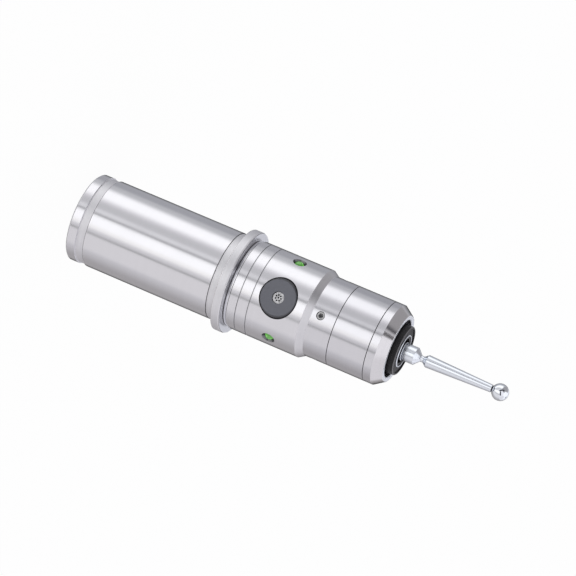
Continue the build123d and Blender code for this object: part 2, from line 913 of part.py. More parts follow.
# Stylus holder: the hub that tilts, with a flange and a tube for the insulators
with BuildPart() as stylus_holder:
    revolve(
        half_section(
            [
                (hub_bore_r, hub_back_z),
                (hub_r, hub_back_z),
                (hub_r, hub_front_z),
                (holder_flange_r, hub_front_z),
                (holder_flange_r, hub_front_z + holder_flange_thickness),
                (holder_tube_r, hub_front_z + holder_flange_thickness),
                (holder_tube_r, face_z - joint_edge),
                (holder_tube_r - joint_edge, face_z),
                (hub_bore_r, face_z),
            ]
        ),
        axis=Axis.Z,
    )
    with Locations(radial_plane(0, pivot_z, 0)):
        Cylinder(pivot_pin_r + running_fit, 2 * hub_r + cut_spare, mode=Mode.SUBTRACT)

# Bumper: the black ring that would meet the nose cap first
with BuildPart() as bumper_ring:
    revolve(
        half_section(
            [
                (holder_flange_r + press_gap, hub_front_z),
                (bumper_r, hub_front_z),
                (bumper_r, face_z - bumper_edge),
                (bumper_r - bumper_edge, face_z),
                (bumper_r - bumper_edge - bumper_rim, face_z),
                (bumper_r - bumper_edge - bumper_rim, face_z - bumper_recess),
                (holder_tube_r + press_gap, face_z - bumper_recess),
                (holder_tube_r + press_gap, hub_front_z + holder_flange_thickness),
                (holder_flange_r + press_gap, hub_front_z + holder_flange_thickness),
            ]
        ),
        axis=Axis.Z,
    )

# Insulating tube between the holder and the stylus socket
with BuildPart() as insulating_tube:
    with BuildSketch(Plane.XY.offset(hub_back_z)):
        Circle(hub_bore_r - press_gap)
        Circle(socket_r + press_gap, mode=Mode.SUBTRACT)
    extrude(amount=face_z - insulator_recess - hub_back_z)

# Stylus socket: threaded for the stylus, with a flange behind the insulating tube
with BuildPart() as stylus_socket:
    revolve(
        half_section(
            [
                (0, socket_back_z),
                (socket_flange_r, socket_back_z),
                (socket_flange_r, hub_back_z),
                (socket_r, hub_back_z),
                (socket_r, stem_z),
                (socket_thread_r + press_gap, stem_z),
                (socket_thread_r + press_gap, stem_z - socket_thread_depth),
                (0, stem_z - socket_thread_depth),
            ]
        ),
        axis=Axis.Z,
    )

# Stylus stem: base, waisted neck and long taper, with a threaded tail and a pin for the ball
stem_pin_z = stem_tip_z + ball_undercut + stem_pin_length
with BuildPart() as stylus_stem:
    revolve(
        half_section(
            [
                (0, stem_z - socket_thread_depth + face_gap),
                (socket_thread_r, stem_z - socket_thread_depth + face_gap),
                (socket_thread_r, stem_z),
                (stem_base_r, stem_z),
                (stem_base_r, stem_cone_z - stem_base_edge),
                (stem_base_r - stem_base_edge, stem_cone_z),
                (stem_neck_r, stem_neck_z),
                (stem_neck_r, stem_flare_z),
                (stem_flare_r, stem_taper_z),
                (stem_tip_r, stem_tip_z),
                (stem_pin_r, stem_tip_z),
                (stem_pin_r, stem_pin_z),
                (0, stem_pin_z),
            ]
        ),
        axis=Axis.Z,
    )

# Stylus ball, bored for the stem's pin
with BuildPart() as stylus_ball:
    with Locations((0, 0, ball_z)):
        Sphere(ball_r)
    with Locations((0, 0, ball_z - ball_r)):
        Cylinder(
            stem_pin_r + press_gap,
            stem_pin_z + face_gap - ball_z + ball_r,
            align=CENTRED_UP,
            mode=Mode.SUBTRACT,
        )

# Every piece under its own name
pieces = {
    "shank": shank,
    "body_seal": body_seal,
    "battery_plug": battery_plug,
    "plug_seal": plug_seal,
    "contact_disc": contact_disc,
    "battery_spring": battery_spring,
    "battery_sleeve": battery_sleeve,
    "body": body,
    "sounder_disc": sounder_disc,
    "sounder_grille": sounder_grille,
    "sounder": sounder,
    "carrier": carrier,
    "cell_rivet": cell_rivet,
    "feed_wire": feed_wire,
    "circuit_board": circuit_board,
    "control_chip": control_chip,
    "bulkhead_bush": bulkhead_bush,
    "contact_stud": contact_stud,
    "contact_spring": contact_spring,
    "seat_housing": seat_housing,
    "clamp_screws": clamp_screws,
    "adjusting_screws": adjusting_screws,
    "nose_cap": nose_cap,
    "return_spring": return_spring,
    "guide_sleeve": guide_sleeve,
    "centring_spring": centring_spring,
    "outer_pins": outer_pins,
    "gimbal_ring": gimbal_ring,
    "inner_pins": inner_pins,
    "stylus_holder": stylus_holder,
    "bumper_ring": bumper_ring,
    "insulating_tube": insulating_tube,
    "stylus_socket": stylus_socket,
    "stylus_stem": stylus_stem,
    "stylus_ball": stylus_ball,
}
for name, lamp in zip(lamp_names, lamps):
    pieces[name] = lamp
for index, cell in enumerate(cells):
    pieces[f"dry_cell_{index + 1}"] = cell

for label, piece in pieces.items():
    piece.part.label = label
    export_step(piece.part, f"parts/{label}.step")
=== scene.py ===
"""Looks, light and camera of a three-dimensional edge finder.

The instrument stands on its shank's rear rim. Its axis is +Z and the sounder disc faces -Y.
Sizes in the classes are millimetres; meshes are in metres. A profile runs counter-clockwise,
with the distance from the axis to the right and the height up.
"""
import cmath
import json
import logging
import math
from dataclasses import dataclass
from enum import Enum
from functools import cached_property
from typing import Sequence

import bpy
import numpy as np
from mathutils import Matrix, Vector


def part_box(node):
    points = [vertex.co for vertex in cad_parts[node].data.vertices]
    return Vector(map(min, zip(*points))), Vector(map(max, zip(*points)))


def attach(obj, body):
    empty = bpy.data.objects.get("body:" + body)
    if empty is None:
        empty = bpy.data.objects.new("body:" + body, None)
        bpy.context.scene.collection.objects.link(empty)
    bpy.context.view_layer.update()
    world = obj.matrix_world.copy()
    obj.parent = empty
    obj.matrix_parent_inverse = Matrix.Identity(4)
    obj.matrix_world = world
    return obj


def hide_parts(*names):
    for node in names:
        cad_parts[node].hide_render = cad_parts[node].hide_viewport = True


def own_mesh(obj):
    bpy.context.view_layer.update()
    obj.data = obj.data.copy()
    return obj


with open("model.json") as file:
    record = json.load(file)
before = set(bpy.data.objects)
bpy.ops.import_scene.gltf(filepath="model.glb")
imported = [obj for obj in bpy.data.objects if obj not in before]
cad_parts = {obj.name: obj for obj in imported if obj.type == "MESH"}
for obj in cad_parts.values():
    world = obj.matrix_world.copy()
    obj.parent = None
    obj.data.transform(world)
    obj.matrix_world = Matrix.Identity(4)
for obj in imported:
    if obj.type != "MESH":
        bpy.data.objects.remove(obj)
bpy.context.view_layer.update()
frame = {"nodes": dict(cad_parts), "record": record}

LOG = logging.getLogger("edge_finder")
MM = 0.001
FULL_TURN = 2 * math.pi
ON_AXIS = 1e-6
ARC_STEP = math.radians(18)
OVERCUT = 1.0
LAMP_ANGLES = (-60.0, 60.0, 180.0)
QUARTERS = (0, 90, 180, 270)
Colour = tuple[float, float, float]
Input = float | Colour | bpy.types.NodeSocket


# ---- Turned meshes ----


class Surface(Enum):
    """What was done last to a band of a turned piece."""

    GROUND = "ground"
    SATIN = "satin"
    FRONT = "front"
    FACED = "faced"
    BORED = "bored"
    BLACK = "black"
    EDGE = "edge"
    JOINT = "joint"


@dataclass(frozen=True)
class Corner:
    """A corner of a profile.

    Attributes:
        surface: What the band that starts here looks like.
        r: Distance from the axis.
        z: Height.
        rounding: Radius that takes the corner off.
    """

    surface: Surface
    r: float
    z: float
    rounding: float = 0.0


@dataclass(frozen=True)
class Step:
    """A straight piece of a rounded profile, as r + zi, with the normals at its two ends."""

    start: complex
    end: complex
    start_normal: complex
    end_normal: complex
    surface: Surface


def profile(*parts: Surface | tuple[float, ...]) -> list[Corner]:
    """Lists the corners of a profile.

    Args:
        *parts: A surface, the corners whose bands have it, the next surface, and so on. A corner
            is r, z and, where it is taken off, its rounding.

    Returns:
        The corners.
    """
    surface = Surface.SATIN
    corners = []
    for part in parts:
        if isinstance(part, Surface):
            surface = part
        else:
            corners.append(Corner(surface, *part))
    return corners


def outward(start: complex, end: complex) -> complex:
    """The normal on the right-hand side of a profile step."""
    return -1j * (end - start) / abs(end - start)


def rounded_steps(corners: Sequence[Corner], closed: bool) -> list[Step]:
    """Rounds the corners of a profile.

    Args:
        corners: The profile.
        closed: Whether the last corner joins the first.

    Returns:
        The steps in order, arcs divided into short ones.
    """
    longest_share, straight = 0.48, math.pi - 1e-6
    count = len(corners)
    spots = [complex(corner.r, corner.z) for corner in corners]
    entries, exits = list(spots), list(spots)
    for index, corner in enumerate(corners):
        if corner.rounding <= 0 or not closed and index in (0, count - 1):
            continue
        back = spots[index - 1] - spots[index]
        ahead = spots[(index + 1) % count] - spots[index]
        inner = abs(cmath.phase(ahead / back))
        if inner > straight:
            continue
        reach = corner.rounding / math.tan(inner / 2)
        reach = min(reach, longest_share * min(abs(back), abs(ahead)))
        entries[index] += back / abs(back) * reach
        exits[index] += ahead / abs(ahead) * reach
    steps = []
    for index in range(count if closed else count - 1):
        after = (index + 1) % count
        normal = outward(exits[index], entries[after])
        surface = corners[index].surface
        steps.append(Step(exits[index], entries[after], normal, normal, surface))
        if entries[after] != exits[after]:
            turned = outward(exits[after], entries[(after + 1) % count])
            steps.extend(arc_steps(entries[after], exits[after], normal, turned, surface))
    return steps


def arc_steps(
    start: complex, end: complex, first: complex, last: complex, surface: Surface
) -> list[Step]:
    """Divides a rounded corner.

    Args:
        start: Where the arc begins.
        end: Where it ends.
        first: Normal at the beginning.
        last: Normal at the end.
        surface: Look of the arc.

    Returns:
        Short steps whose normals turn evenly.
    """
    swing = cmath.phase(last / first)
    parts = max(2, math.ceil(abs(swing) / ARC_STEP))
    radius = abs(end - start) / (2 * math.sin(swing / 2))
    centre = start - first * radius
    normals = [first * cmath.exp(1j * swing * part / parts) for part in range(parts + 1)]
    points = [start, *(centre + normal * radius for normal in normals[1:-1]), end]
    return [
        Step(*points[part : part + 2], *normals[part : part + 2], surface) for part in range(parts)
    ]


def turned_mesh(
    name: str, corners: Sequence[Corner], sides: int, place: Matrix | None
) -> tuple[bpy.types.Mesh, list[Surface]]:
    """Revolves a rounded profile about Z.

    Args:
        name: Name of the mesh.
        corners: The profile: a ring, or from the axis back to the axis.
        sides: Divisions round the axis.
        place: Moves the finished mesh.

    Returns:
        The mesh, with exact normals kept in a corner attribute, and its surfaces in slot order.
    """
    closed = corners[0].r > ON_AXIS
    steps = rounded_steps(corners, closed)
    rings = [step.start for step in steps]
    if not closed:
        rings.append(steps[-1].end)
    surfaces = list(dict.fromkeys(step.surface for step in steps))
    spokes = [cmath.exp(1j * FULL_TURN * side / sides) for side in range(sides)]
    vertices: list[tuple[float, float, float]] = []
    starts = []
    for ring in rings:
        starts.append(len(vertices))
        for spoke in spokes if ring.real > ON_AXIS else [0j]:
            spot = spoke * ring.real
            vertices.append((spot.real * MM, spot.imag * MM, ring.imag * MM))

    def along(ring: int, order: tuple[int, int], normal: complex) -> list[tuple]:
        """The vertices, directions and normals of a face at one of its rings."""
        if rings[ring].real > ON_AXIS:
            return [(starts[ring] + side, spokes[side], normal) for side in order]
        return [(starts[ring], spokes[order[0]] + spokes[order[1]], normal)]

    faces, slots, normals = [], [], []
    for index, step in enumerate(steps):
        beyond = (index + 1) % len(rings)
        for side in range(sides):
            after = (side + 1) % sides
            face = along(index, (side, after), step.start_normal)
            face += along(beyond, (after, side), step.end_normal)
            faces.append([vertex for vertex, _, _ in face])
            slots.append(surfaces.index(step.surface))
            for _, spoke, normal in face:
                across = normal.real * spoke / abs(spoke)
                normals.append((across.real, across.imag, normal.imag))
    mesh = bpy.data.meshes.new(name)
    mesh.from_pydata(vertices, [], faces)
    mesh.polygons.foreach_set("material_index", slots)
    kept = mesh.attributes.new("exact_normal", "FLOAT_VECTOR", "CORNER")
    values = np.array(normals)
    if place is not None:
        mesh.transform(place)
        values = values @ np.array(place.to_3x3()).T
    kept.data.foreach_set("vector", values.astype(np.float32).ravel())
    mesh.update()
    return mesh, surfaces


def read_rows(
    items: bpy.types.bpy_prop_collection, name: str, kind: type, width: int
) -> np.ndarray:
    """Reads a property of all the items of a mesh, one row each."""
    values = np.zeros(len(items) * width, kind)
    items.foreach_get(name, values)
    return values.reshape(-1, width)


def use_exact_normals(mesh: bpy.types.Mesh) -> None:
    """Shades a mesh by the normals kept in its corner attribute, turned to each face's outside.

    Args:
        mesh: A turned mesh, also after cuts. Faces that a cut left without normals stay flat.
    """
    shortest, steepest = 1e-3, 0.3
    kept = mesh.attributes["exact_normal"]
    values = read_rows(kept.data, "vector", np.float32, 3)
    totals = read_rows(mesh.polygons, "loop_total", np.int32, 1).ravel()
    flat = np.repeat(read_rows(mesh.polygons, "normal", np.float32, 3), totals, axis=0)
    missing = np.linalg.norm(values, axis=1) < shortest
    values[missing] = flat[missing]
    values /= np.linalg.norm(values, axis=1)[:, None]
    agreement = (values * flat).sum(axis=1)
    values[agreement < 0] *= -1
    odd = np.abs(agreement) < steepest
    values[odd] = flat[odd]
    mesh.polygons.foreach_set("use_smooth", [True] * len(mesh.polygons))
    mesh.normals_split_custom_set(values.tolist())
    mesh.attributes.remove(mesh.attributes["exact_normal"])


def shade_as_ball(mesh: bpy.types.Mesh, centre: Vector, radius: float) -> None:
    """Shades the ball-shaped part of a mesh by its centre.

    Args:
        mesh: The mesh, already shaded. What faces the centre, such as a bore, stays as it is.
        centre: The ball's centre in metres.
        radius: The ball's radius in millimetres.
    """
    slack = 0.02
    normals = [corner.vector.copy() for corner in mesh.corner_normals]
    for loop in mesh.loops:
        spoke = mesh.vertices[loop.vertex_index].co - centre
        on_ball = abs(spoke.length / MM - radius) < slack
        if on_ball and spoke.dot(normals[loop.index]) > 0:
            normals[loop.index] = spoke.normalized()
    mesh.normals_split_custom_set(normals)


# ---- Other shapes ----


def shown(name: str, mesh: bpy.types.Mesh) -> bpy.types.Object:
    """A new object in the scene that shows a mesh."""
    item = bpy.data.objects.new(name, mesh)
    bpy.context.scene.collection.objects.link(item)
    return item


def span(node: str) -> tuple[float, float]:
    """The lowest and highest height of a CAD node, in millimetres."""
    low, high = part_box(node)
    return low.z / MM, high.z / MM


def wire_mesh(
    name: str, route: Sequence[Vector], radius: float, sides: int = 12
) -> bpy.types.Mesh:
    """Sweeps a circle along a route.

    Args:
        name: Name of the mesh.
        route: Points in millimetres.
        radius: Radius of the wire in millimetres.
        sides: Divisions round the wire.

    Returns:
        The closed mesh in metres, smooth along its length.
    """
    last = len(route) - 1
    runs = [(route[min(i + 1, last)] - route[max(i - 1, 0)]).normalized() for i in range(last + 1)]
    across = runs[0].orthogonal().normalized()
    vertices = []
    for point, run in zip(route, runs):
        across = (across - run * across.dot(run)).normalized()
        other = run.cross(across)
        for side in range(sides):
            turn = FULL_TURN * side / sides
            offset = across * math.cos(turn) + other * math.sin(turn)
            vertices.append((point + offset * radius) * MM)
    faces = []
    for start in range(0, last * sides, sides):
        for side in range(sides):
            here, after = start + side, start + (side + 1) % sides
            faces.append((here, after, after + sides, here + sides))
    smooth = [True] * len(faces) + [False, False]
    faces.append(tuple(reversed(range(sides))))
    faces.append(tuple(range(last * sides, (last + 1) * sides)))
    mesh = bpy.data.meshes.new(name)
    mesh.from_pydata(vertices, [], faces)
    mesh.polygons.foreach_set("use_smooth", smooth)
    mesh.update()
    return mesh


def coil_route(coil_r: float, low: float, high: float, turns: float) -> list[Vector]:
    """The middle line of a coil spring with closed ends.

    Args:
        coil_r: Radius of the middle line.
        low: Height of its start.
        high: Height of its end.
        turns: Number of turns in all.

    Returns:
        The points.
    """
    per_turn, flat_turns, easing = 40, 0.9, 0.3
    points = []
    for index in range(int(turns * per_turn) + 1):
        turn = index / per_turn
        share = (turn - flat_turns) / (turns - 2 * flat_turns)
        share = min(max(share, 0.0), 1.0)
        share = share * share * (3 - 2 * share) * easing + share * (1 - easing)
        angle = FULL_TURN * turn
        height = low + (high - low) * share
        points.append(Vector((coil_r * math.cos(angle), coil_r * math.sin(angle), height)))
    return points


def bent_route(corners: Sequence[Vector], bend: float) -> list[Vector]:
    """A route through corners, rounded from a bend's length before each to one after it."""
    parts = 8
    points = [corners[0]]
    for before, corner, after in zip(corners, corners[1:], corners[2:]):
        start = corner + (before - corner).normalized() * bend
        end = corner + (after - corner).normalized() * bend
        for share in (part / parts for part in range(parts + 1)):
            middle = corner * 2 * share * (1 - share)
            points.append(start * (1 - share) ** 2 + middle + end * share**2)
    points.append(corners[-1])
    return points


def carve(blank: bpy.types.Object, cutters: Sequence[bpy.types.Mesh]) -> None:
    """Cuts shapes out of a piece.

    Args:
        blank: The piece to cut.
        cutters: Closed meshes, each with one material; they are deleted.
    """
    tools = [shown(f"cutter_{index}", cutter) for index, cutter in enumerate(cutters)]
    for tool in tools:
        modifier = blank.modifiers.new(tool.name, "BOOLEAN")
        modifier.operation = "DIFFERENCE"
        modifier.solver = "EXACT"
        modifier.material_mode = "TRANSFER"
        modifier.object = tool
    graph = bpy.context.evaluated_depsgraph_get()
    result = bpy.data.meshes.new_from_object(blank.evaluated_get(graph))
    blank.modifiers.clear()
    spent = [blank.data, *cutters]
    blank.data = result
    for tool in tools:
        bpy.data.objects.remove(tool)
    for mesh in spent:
        bpy.data.meshes.remove(mesh)


def joined_pieces(name: str, pieces: Sequence[bpy.types.Object]) -> bpy.types.Object:
    """Joins finished pieces into the first of them, keeping their normals.

    Args:
        name: Name of the whole.
        pieces: The pieces.

    Returns:
        The joined piece.
    """
    whole = pieces[0]
    with bpy.context.temp_override(
        active_object=whole, selected_editable_objects=list(pieces), object=whole
    ):
        bpy.ops.object.join()
    whole.name = name
    whole.data.name = name
    return whole


def facing(angle: float, height: float) -> Matrix:
    """A frame on the axis whose Z looks outward.

    Args:
        angle: Degrees from -Y towards +X.
        height: Height in millimetres.

    Returns:
        The matrix of that frame, in metres.
    """
    turn = math.radians(angle)
    out = Vector((math.sin(turn), -math.cos(turn), 0))
    along = Vector((0, 0, 1))
    matrix = Matrix((along, out.cross(along), out)).transposed().to_4x4()
    matrix.translation = along * height * MM
    return matrix


# ---- Shader groups ----


class Nodes:
    """Adds nodes to a tree."""

    def __init__(self, tree: bpy.types.NodeTree) -> None:
        """Takes the tree to add to."""
        self.tree = tree

    def feed(self, socket: bpy.types.NodeSocket, value: Input) -> None:
        """Links a socket to another, or sets its number or colour."""
        if isinstance(value, bpy.types.NodeSocket):
            self.tree.links.new(value, socket)
        else:
            socket.default_value = (*value, 1) if socket.type == "RGBA" else value

    def add(
        self, kind: str, inputs: dict[str, Input] | None = None, **settings: object
    ) -> bpy.types.Node:
        """Adds a node.

        Args:
            kind: Its type, after the word ShaderNode.
            inputs: What goes into its sockets.
            **settings: Its properties.

        Returns:
            The node.
        """
        node = self.tree.nodes.new(f"ShaderNode{kind}")
        row, column = divmod(len(self.tree.nodes), 9)
        node.location = (220 * column, -260 * row)
        for key, value in settings.items():
            setattr(node, key, value)
        for key, value in (inputs or {}).items():
            self.feed(node.inputs[key], value)
        return node

    def maths(self, operation: str, *values: Input) -> bpy.types.NodeSocket:
        """The output of a maths node that is fed with these numbers or sockets."""
        node = self.add("Math", operation=operation)
        for socket, value in zip(node.inputs, values):
            self.feed(socket, value)
        return node.outputs[0]

    def mix(self, share: Input, first: Input, second: Input) -> bpy.types.NodeSocket:
        """The mix of two colours by a mask."""
        node = self.add("Mix", data_type="RGBA")
        for key, value in (("Factor", share), ("A", first), ("B", second)):
            self.feed(node.inputs[key], value)
        return node.outputs["Result"]


class Group(Nodes):
    """A shader node group under construction."""

    def __init__(self, name: str, **inputs: float | str) -> None:
        """Starts a group.

        Args:
            name: Its name.
            **inputs: Its inputs, each with its default or, where it isn't a number, its kind.
        """
        super().__init__(bpy.data.node_groups.new(name, "ShaderNodeTree"))
        for key, value in inputs.items():
            kind = value if isinstance(value, str) else "Float"
            socket = self.tree.interface.new_socket(
                name=key, in_out="INPUT", socket_type=f"NodeSocket{kind}"
            )
            if kind == "Float":
                socket.default_value = value
        self.given = self.tree.nodes.new("NodeGroupInput").outputs
        self.result = self.tree.nodes.new("NodeGroupOutput").inputs

    def give(self, **outputs: bpy.types.NodeSocket) -> bpy.types.ShaderNodeTree:
        """Ends the group with outputs that these sockets feed, and returns it."""
        for key, source in outputs.items():
            kind = "Color" if source.type == "RGBA" else "Float"
            self.tree.interface.new_socket(
                name=key, in_out="OUTPUT", socket_type=f"NodeSocket{kind}"
            )
            self.tree.links.new(source, self.result[key])
        return self.tree


def turned_marks_group() -> bpy.types.ShaderNodeTree:
    """Fine rings that a tool leaves, on cylinders, cones and faces alike."""
    group = Group("turned_marks", Position="Vector", Pitch=0.0004, Waver=60.0)
    given, maths = group.given, group.maths
    x, y, z = group.add("SeparateXYZ", {"Vector": given["Position"]}).outputs
    radius = maths("SQRT", maths("ADD", maths("MULTIPLY", x, x), maths("MULTIPLY", y, y)))
    run = maths("ADD", z, maths("MULTIPLY", radius, 0.83))
    spot = {
        "X": maths("MULTIPLY", x, given["Waver"]),
        "Y": maths("MULTIPLY", y, given["Waver"]),
        "Z": maths("DIVIDE", run, given["Pitch"]),
    }
    place = group.add("CombineXYZ", spot).outputs[0]
    fine = group.add("TexNoise", {"Vector": place, "Scale": 1.0, "Detail": 3.0, "Roughness": 0.62})
    broad = group.add("TexNoise", {"Vector": place, "Scale": 0.22, "Detail": 1.0})
    fine_part = maths("MULTIPLY", fine.outputs["Fac"], 0.65)
    mixed = maths("ADD", fine_part, maths("MULTIPLY", broad.outputs["Fac"], 0.35))
    tone = group.add("MapRange", {"Value": mixed, "From Min": 0.3, "From Max": 0.7})
    return group.give(Height=mixed, Tone=tone.outputs["Result"])


def handling_haze_group() -> bpy.types.ShaderNodeTree:
    """Faint patches where oil and fingers have dulled a surface."""
    group = Group("handling_haze", Position="Vector", Patch=0.012)
    pattern = {
        "Vector": group.given["Position"],
        "Scale": group.maths("DIVIDE", 1.0, group.given["Patch"]),
        "Detail": 4.0,
        "Roughness": 0.55,
        "Distortion": 0.6,
    }
    clouds = group.add("TexNoise", pattern).outputs["Fac"]
    limits = {"Value": clouds, "From Min": 0.46, "From Max": 0.7}
    ramp = group.add("MapRange", limits, interpolation_type="SMOOTHSTEP")
    return group.give(Haze=ramp.outputs["Result"])


def painted_edge_highlight_group() -> bpy.types.ShaderNodeTree:
    """Painted highlight: edges brightened where the mesh is pointy, broken up by noise."""
    group = Group("painted_edge_highlight", Position="Vector", Reach=0.06, Break=0.002)
    given, maths = group.given, group.maths
    over = maths("SUBTRACT", group.add("NewGeometry").outputs["Pointiness"], 0.5)
    share = maths("DIVIDE", over, given["Reach"])
    scale = maths("DIVIDE", 1.0, given["Break"])
    noise = group.add("TexNoise", {"Vector": given["Position"], "Scale": scale, "Detail": 3.0})
    broken = maths("MULTIPLY", share, maths("ADD", noise.outputs["Fac"], 0.4))
    return group.give(Wear=group.add("Clamp", {"Value": broken}).outputs[0])


def moulded_grain_group() -> bpy.types.ShaderNodeTree:
    """The even, fine grain of a moulded or coated surface."""
    group = Group("moulded_grain", Position="Vector", Grain=0.0002)
    place = group.given["Position"]
    scale = group.maths("DIVIDE", 1.0, group.given["Grain"])
    bumps = group.add("TexNoise", {"Vector": place, "Scale": scale, "Detail": 4.0})
    coarse = group.maths("MULTIPLY", scale, 0.35)
    flecks = group.add("TexVoronoi", {"Vector": place, "Scale": coarse}, feature="F1")
    return group.give(Height=bumps.outputs["Fac"], Fleck=flecks.outputs["Distance"])


class Effects:
    """The shader groups that the materials share, each built once."""

    def __init__(self) -> None:
        """Builds the groups."""
        self.turned_marks = turned_marks_group()
        self.handling_haze = handling_haze_group()
        self.painted_edge_highlight = painted_edge_highlight_group()
        self.moulded_grain = moulded_grain_group()


# ---- Finishes ----


class Sheet(Nodes):
    """A material under construction."""

    def __init__(self, name: str, constants: dict[str, Input]) -> None:
        """Starts a material.

        Args:
            name: Its name.
            constants: Numbers and colours set directly on its Principled shader.
        """
        self.material = bpy.data.materials.new(name)
        self.material.use_nodes = True
        super().__init__(self.material.node_tree)
        self.shader = self.tree.nodes["Principled BSDF"].inputs
        for key, value in constants.items():
            self.feed(self.shader[key], value)

    @cached_property
    def place(self) -> bpy.types.NodeSocket:
        """The place on the piece, in metres."""
        return self.add("TexCoord").outputs["Object"]

    def effect(
        self, group: bpy.types.ShaderNodeTree, **values: float
    ) -> bpy.types.bpy_prop_collection:
        """The outputs of one of the shared groups, with these numbers as its inputs."""
        return self.add("Group", {"Position": self.place, **values}, node_tree=group).outputs

    def tint(self, share: Input, first: Input, second: Input) -> bpy.types.NodeSocket:
        """Feeds the base colour with a mix of two colours by a mask, and returns the mix."""
        mixed = self.mix(share, first, second)
        self.feed(self.shader["Base Color"], mixed)
        return mixed

    def roughness(self, share: Input, low: float, high: float) -> None:
        """Feeds the roughness from a mask, low at zero and high at one."""
        ramp = self.add("MapRange", {"Value": share, "To Min": low, "To Max": high})
        self.feed(self.shader["Roughness"], ramp.outputs["Result"])

    def bump(self, height: Input, depth: float) -> None:
        """Feeds the normal from a height, where 1 stands for a depth in metres."""
        bump = self.add("Bump", {"Strength": 1.0, "Distance": depth, "Height": height})
        self.feed(self.shader["Normal"], bump.outputs["Normal"])


@dataclass(frozen=True)
class TurnedMetal:
    """Metal with rings from turning or grinding.

    Attributes:
        name: Name of the material.
        colour: Colour of the bright marks.
        shade: Share of the colour in the dark marks.
        roughness: Roughness of the clean metal.
        dulled: Roughness where it is hazed.
        pitch: Spacing of the marks, in metres.
        depth: Depth of the marks, in metres.
        anisotropy: How much the marks stretch a highlight along the axis.
        highlight_colour: Colour of the painted highlight on its edges, or none.
    """

    name: str
    colour: Colour
    shade: float
    roughness: float
    dulled: float
    pitch: float
    depth: float
    anisotropy: float = 0.0
    highlight_colour: Colour | None = None

    def make(self, effects: Effects) -> bpy.types.Material:
        """Builds the material from the shared groups."""
        constants = {
            "Metallic": 1.0,
            "Anisotropic": self.anisotropy,
            "Anisotropic Rotation": 0.25,
        }
        sheet = Sheet(self.name, constants)
        marks = sheet.effect(effects.turned_marks, Pitch=self.pitch)
        haze = sheet.effect(effects.handling_haze)
        dark = tuple(self.shade * channel for channel in self.colour)
        toned = sheet.tint(marks["Tone"], dark, self.colour)
        # Painted highlight: edges are brightened towards this colour by pointiness.
        if self.highlight_colour:
            sheet.tint(sheet.effect(effects.painted_edge_highlight)["Wear"], toned, self.highlight_colour)
        sheet.roughness(haze["Haze"], self.roughness, self.dulled)
        sheet.bump(marks["Height"], self.depth)
        if self.anisotropy:
            round_axis = sheet.add("Tangent", direction_type="RADIAL", axis="Z")
            sheet.feed(sheet.shader["Tangent"], round_axis.outputs[0])
        return sheet.material


@dataclass(frozen=True)
class Moulded:
    """Moulded or coated matter.

    Attributes:
        name: Name of the material.
        colour: Main colour.
        fleck: Colour of the faint flecks.
        roughness: Roughness of the smooth places.
        grain: Size of the grain, in metres.
        depth: Depth of the grain, in metres.
        specular: Strength of the surface reflection.
        spread: What the haze adds to the roughness.
        coat: Weight of a clear layer on top.
        metallic: 1 for punched or cast metal.
    """

    name: str
    colour: Colour
    fleck: Colour
    roughness: float
    grain: float
    depth: float
    specular: float = 0.5
    spread: float = 0.1
    coat: float = 0.0
    metallic: float = 0.0

    def make(self, effects: Effects) -> bpy.types.Material:
        """Builds the material from the shared groups."""
        constants = {
            "Specular IOR Level": self.specular,
            "Coat Weight": self.coat,
            "Metallic": self.metallic,
        }
        sheet = Sheet(self.name, constants)
        grain = sheet.effect(effects.moulded_grain, Grain=self.grain)
        haze = sheet.effect(effects.handling_haze, Patch=0.006)
        sheet.tint(grain["Fleck"], self.colour, self.fleck)
        sheet.roughness(haze["Haze"], self.roughness, self.roughness + self.spread)
        sheet.bump(grain["Height"], self.depth)
        return sheet.material


@dataclass(frozen=True)
class Lens:
    """Clear coloured epoxy of a lamp.

    Attributes:
        name: Name of the material.
        colour: Colour of the epoxy.
        glow: Colour of the light in it.
        glow_strength: Strength of that light.
    """

    name: str
    colour: Colour
    glow: Colour
    glow_strength: float

    def make(self, effects: Effects) -> bpy.types.Material:
        """Builds the material from the shared groups."""
        constants = {
            "Transmission Weight": 0.85,
            "IOR": 1.52,
            "Coat Weight": 0.7,
            "Emission Strength": self.glow_strength,
            "Emission Color": self.glow,
        }
        sheet = Sheet(self.name, constants)
        haze = sheet.effect(effects.handling_haze, Patch=0.0008)["Haze"]
        sheet.tint(haze, self.colour, tuple(0.6 * channel for channel in self.colour))
        sheet.roughness(haze, 0.04, 0.12)
        return sheet.material


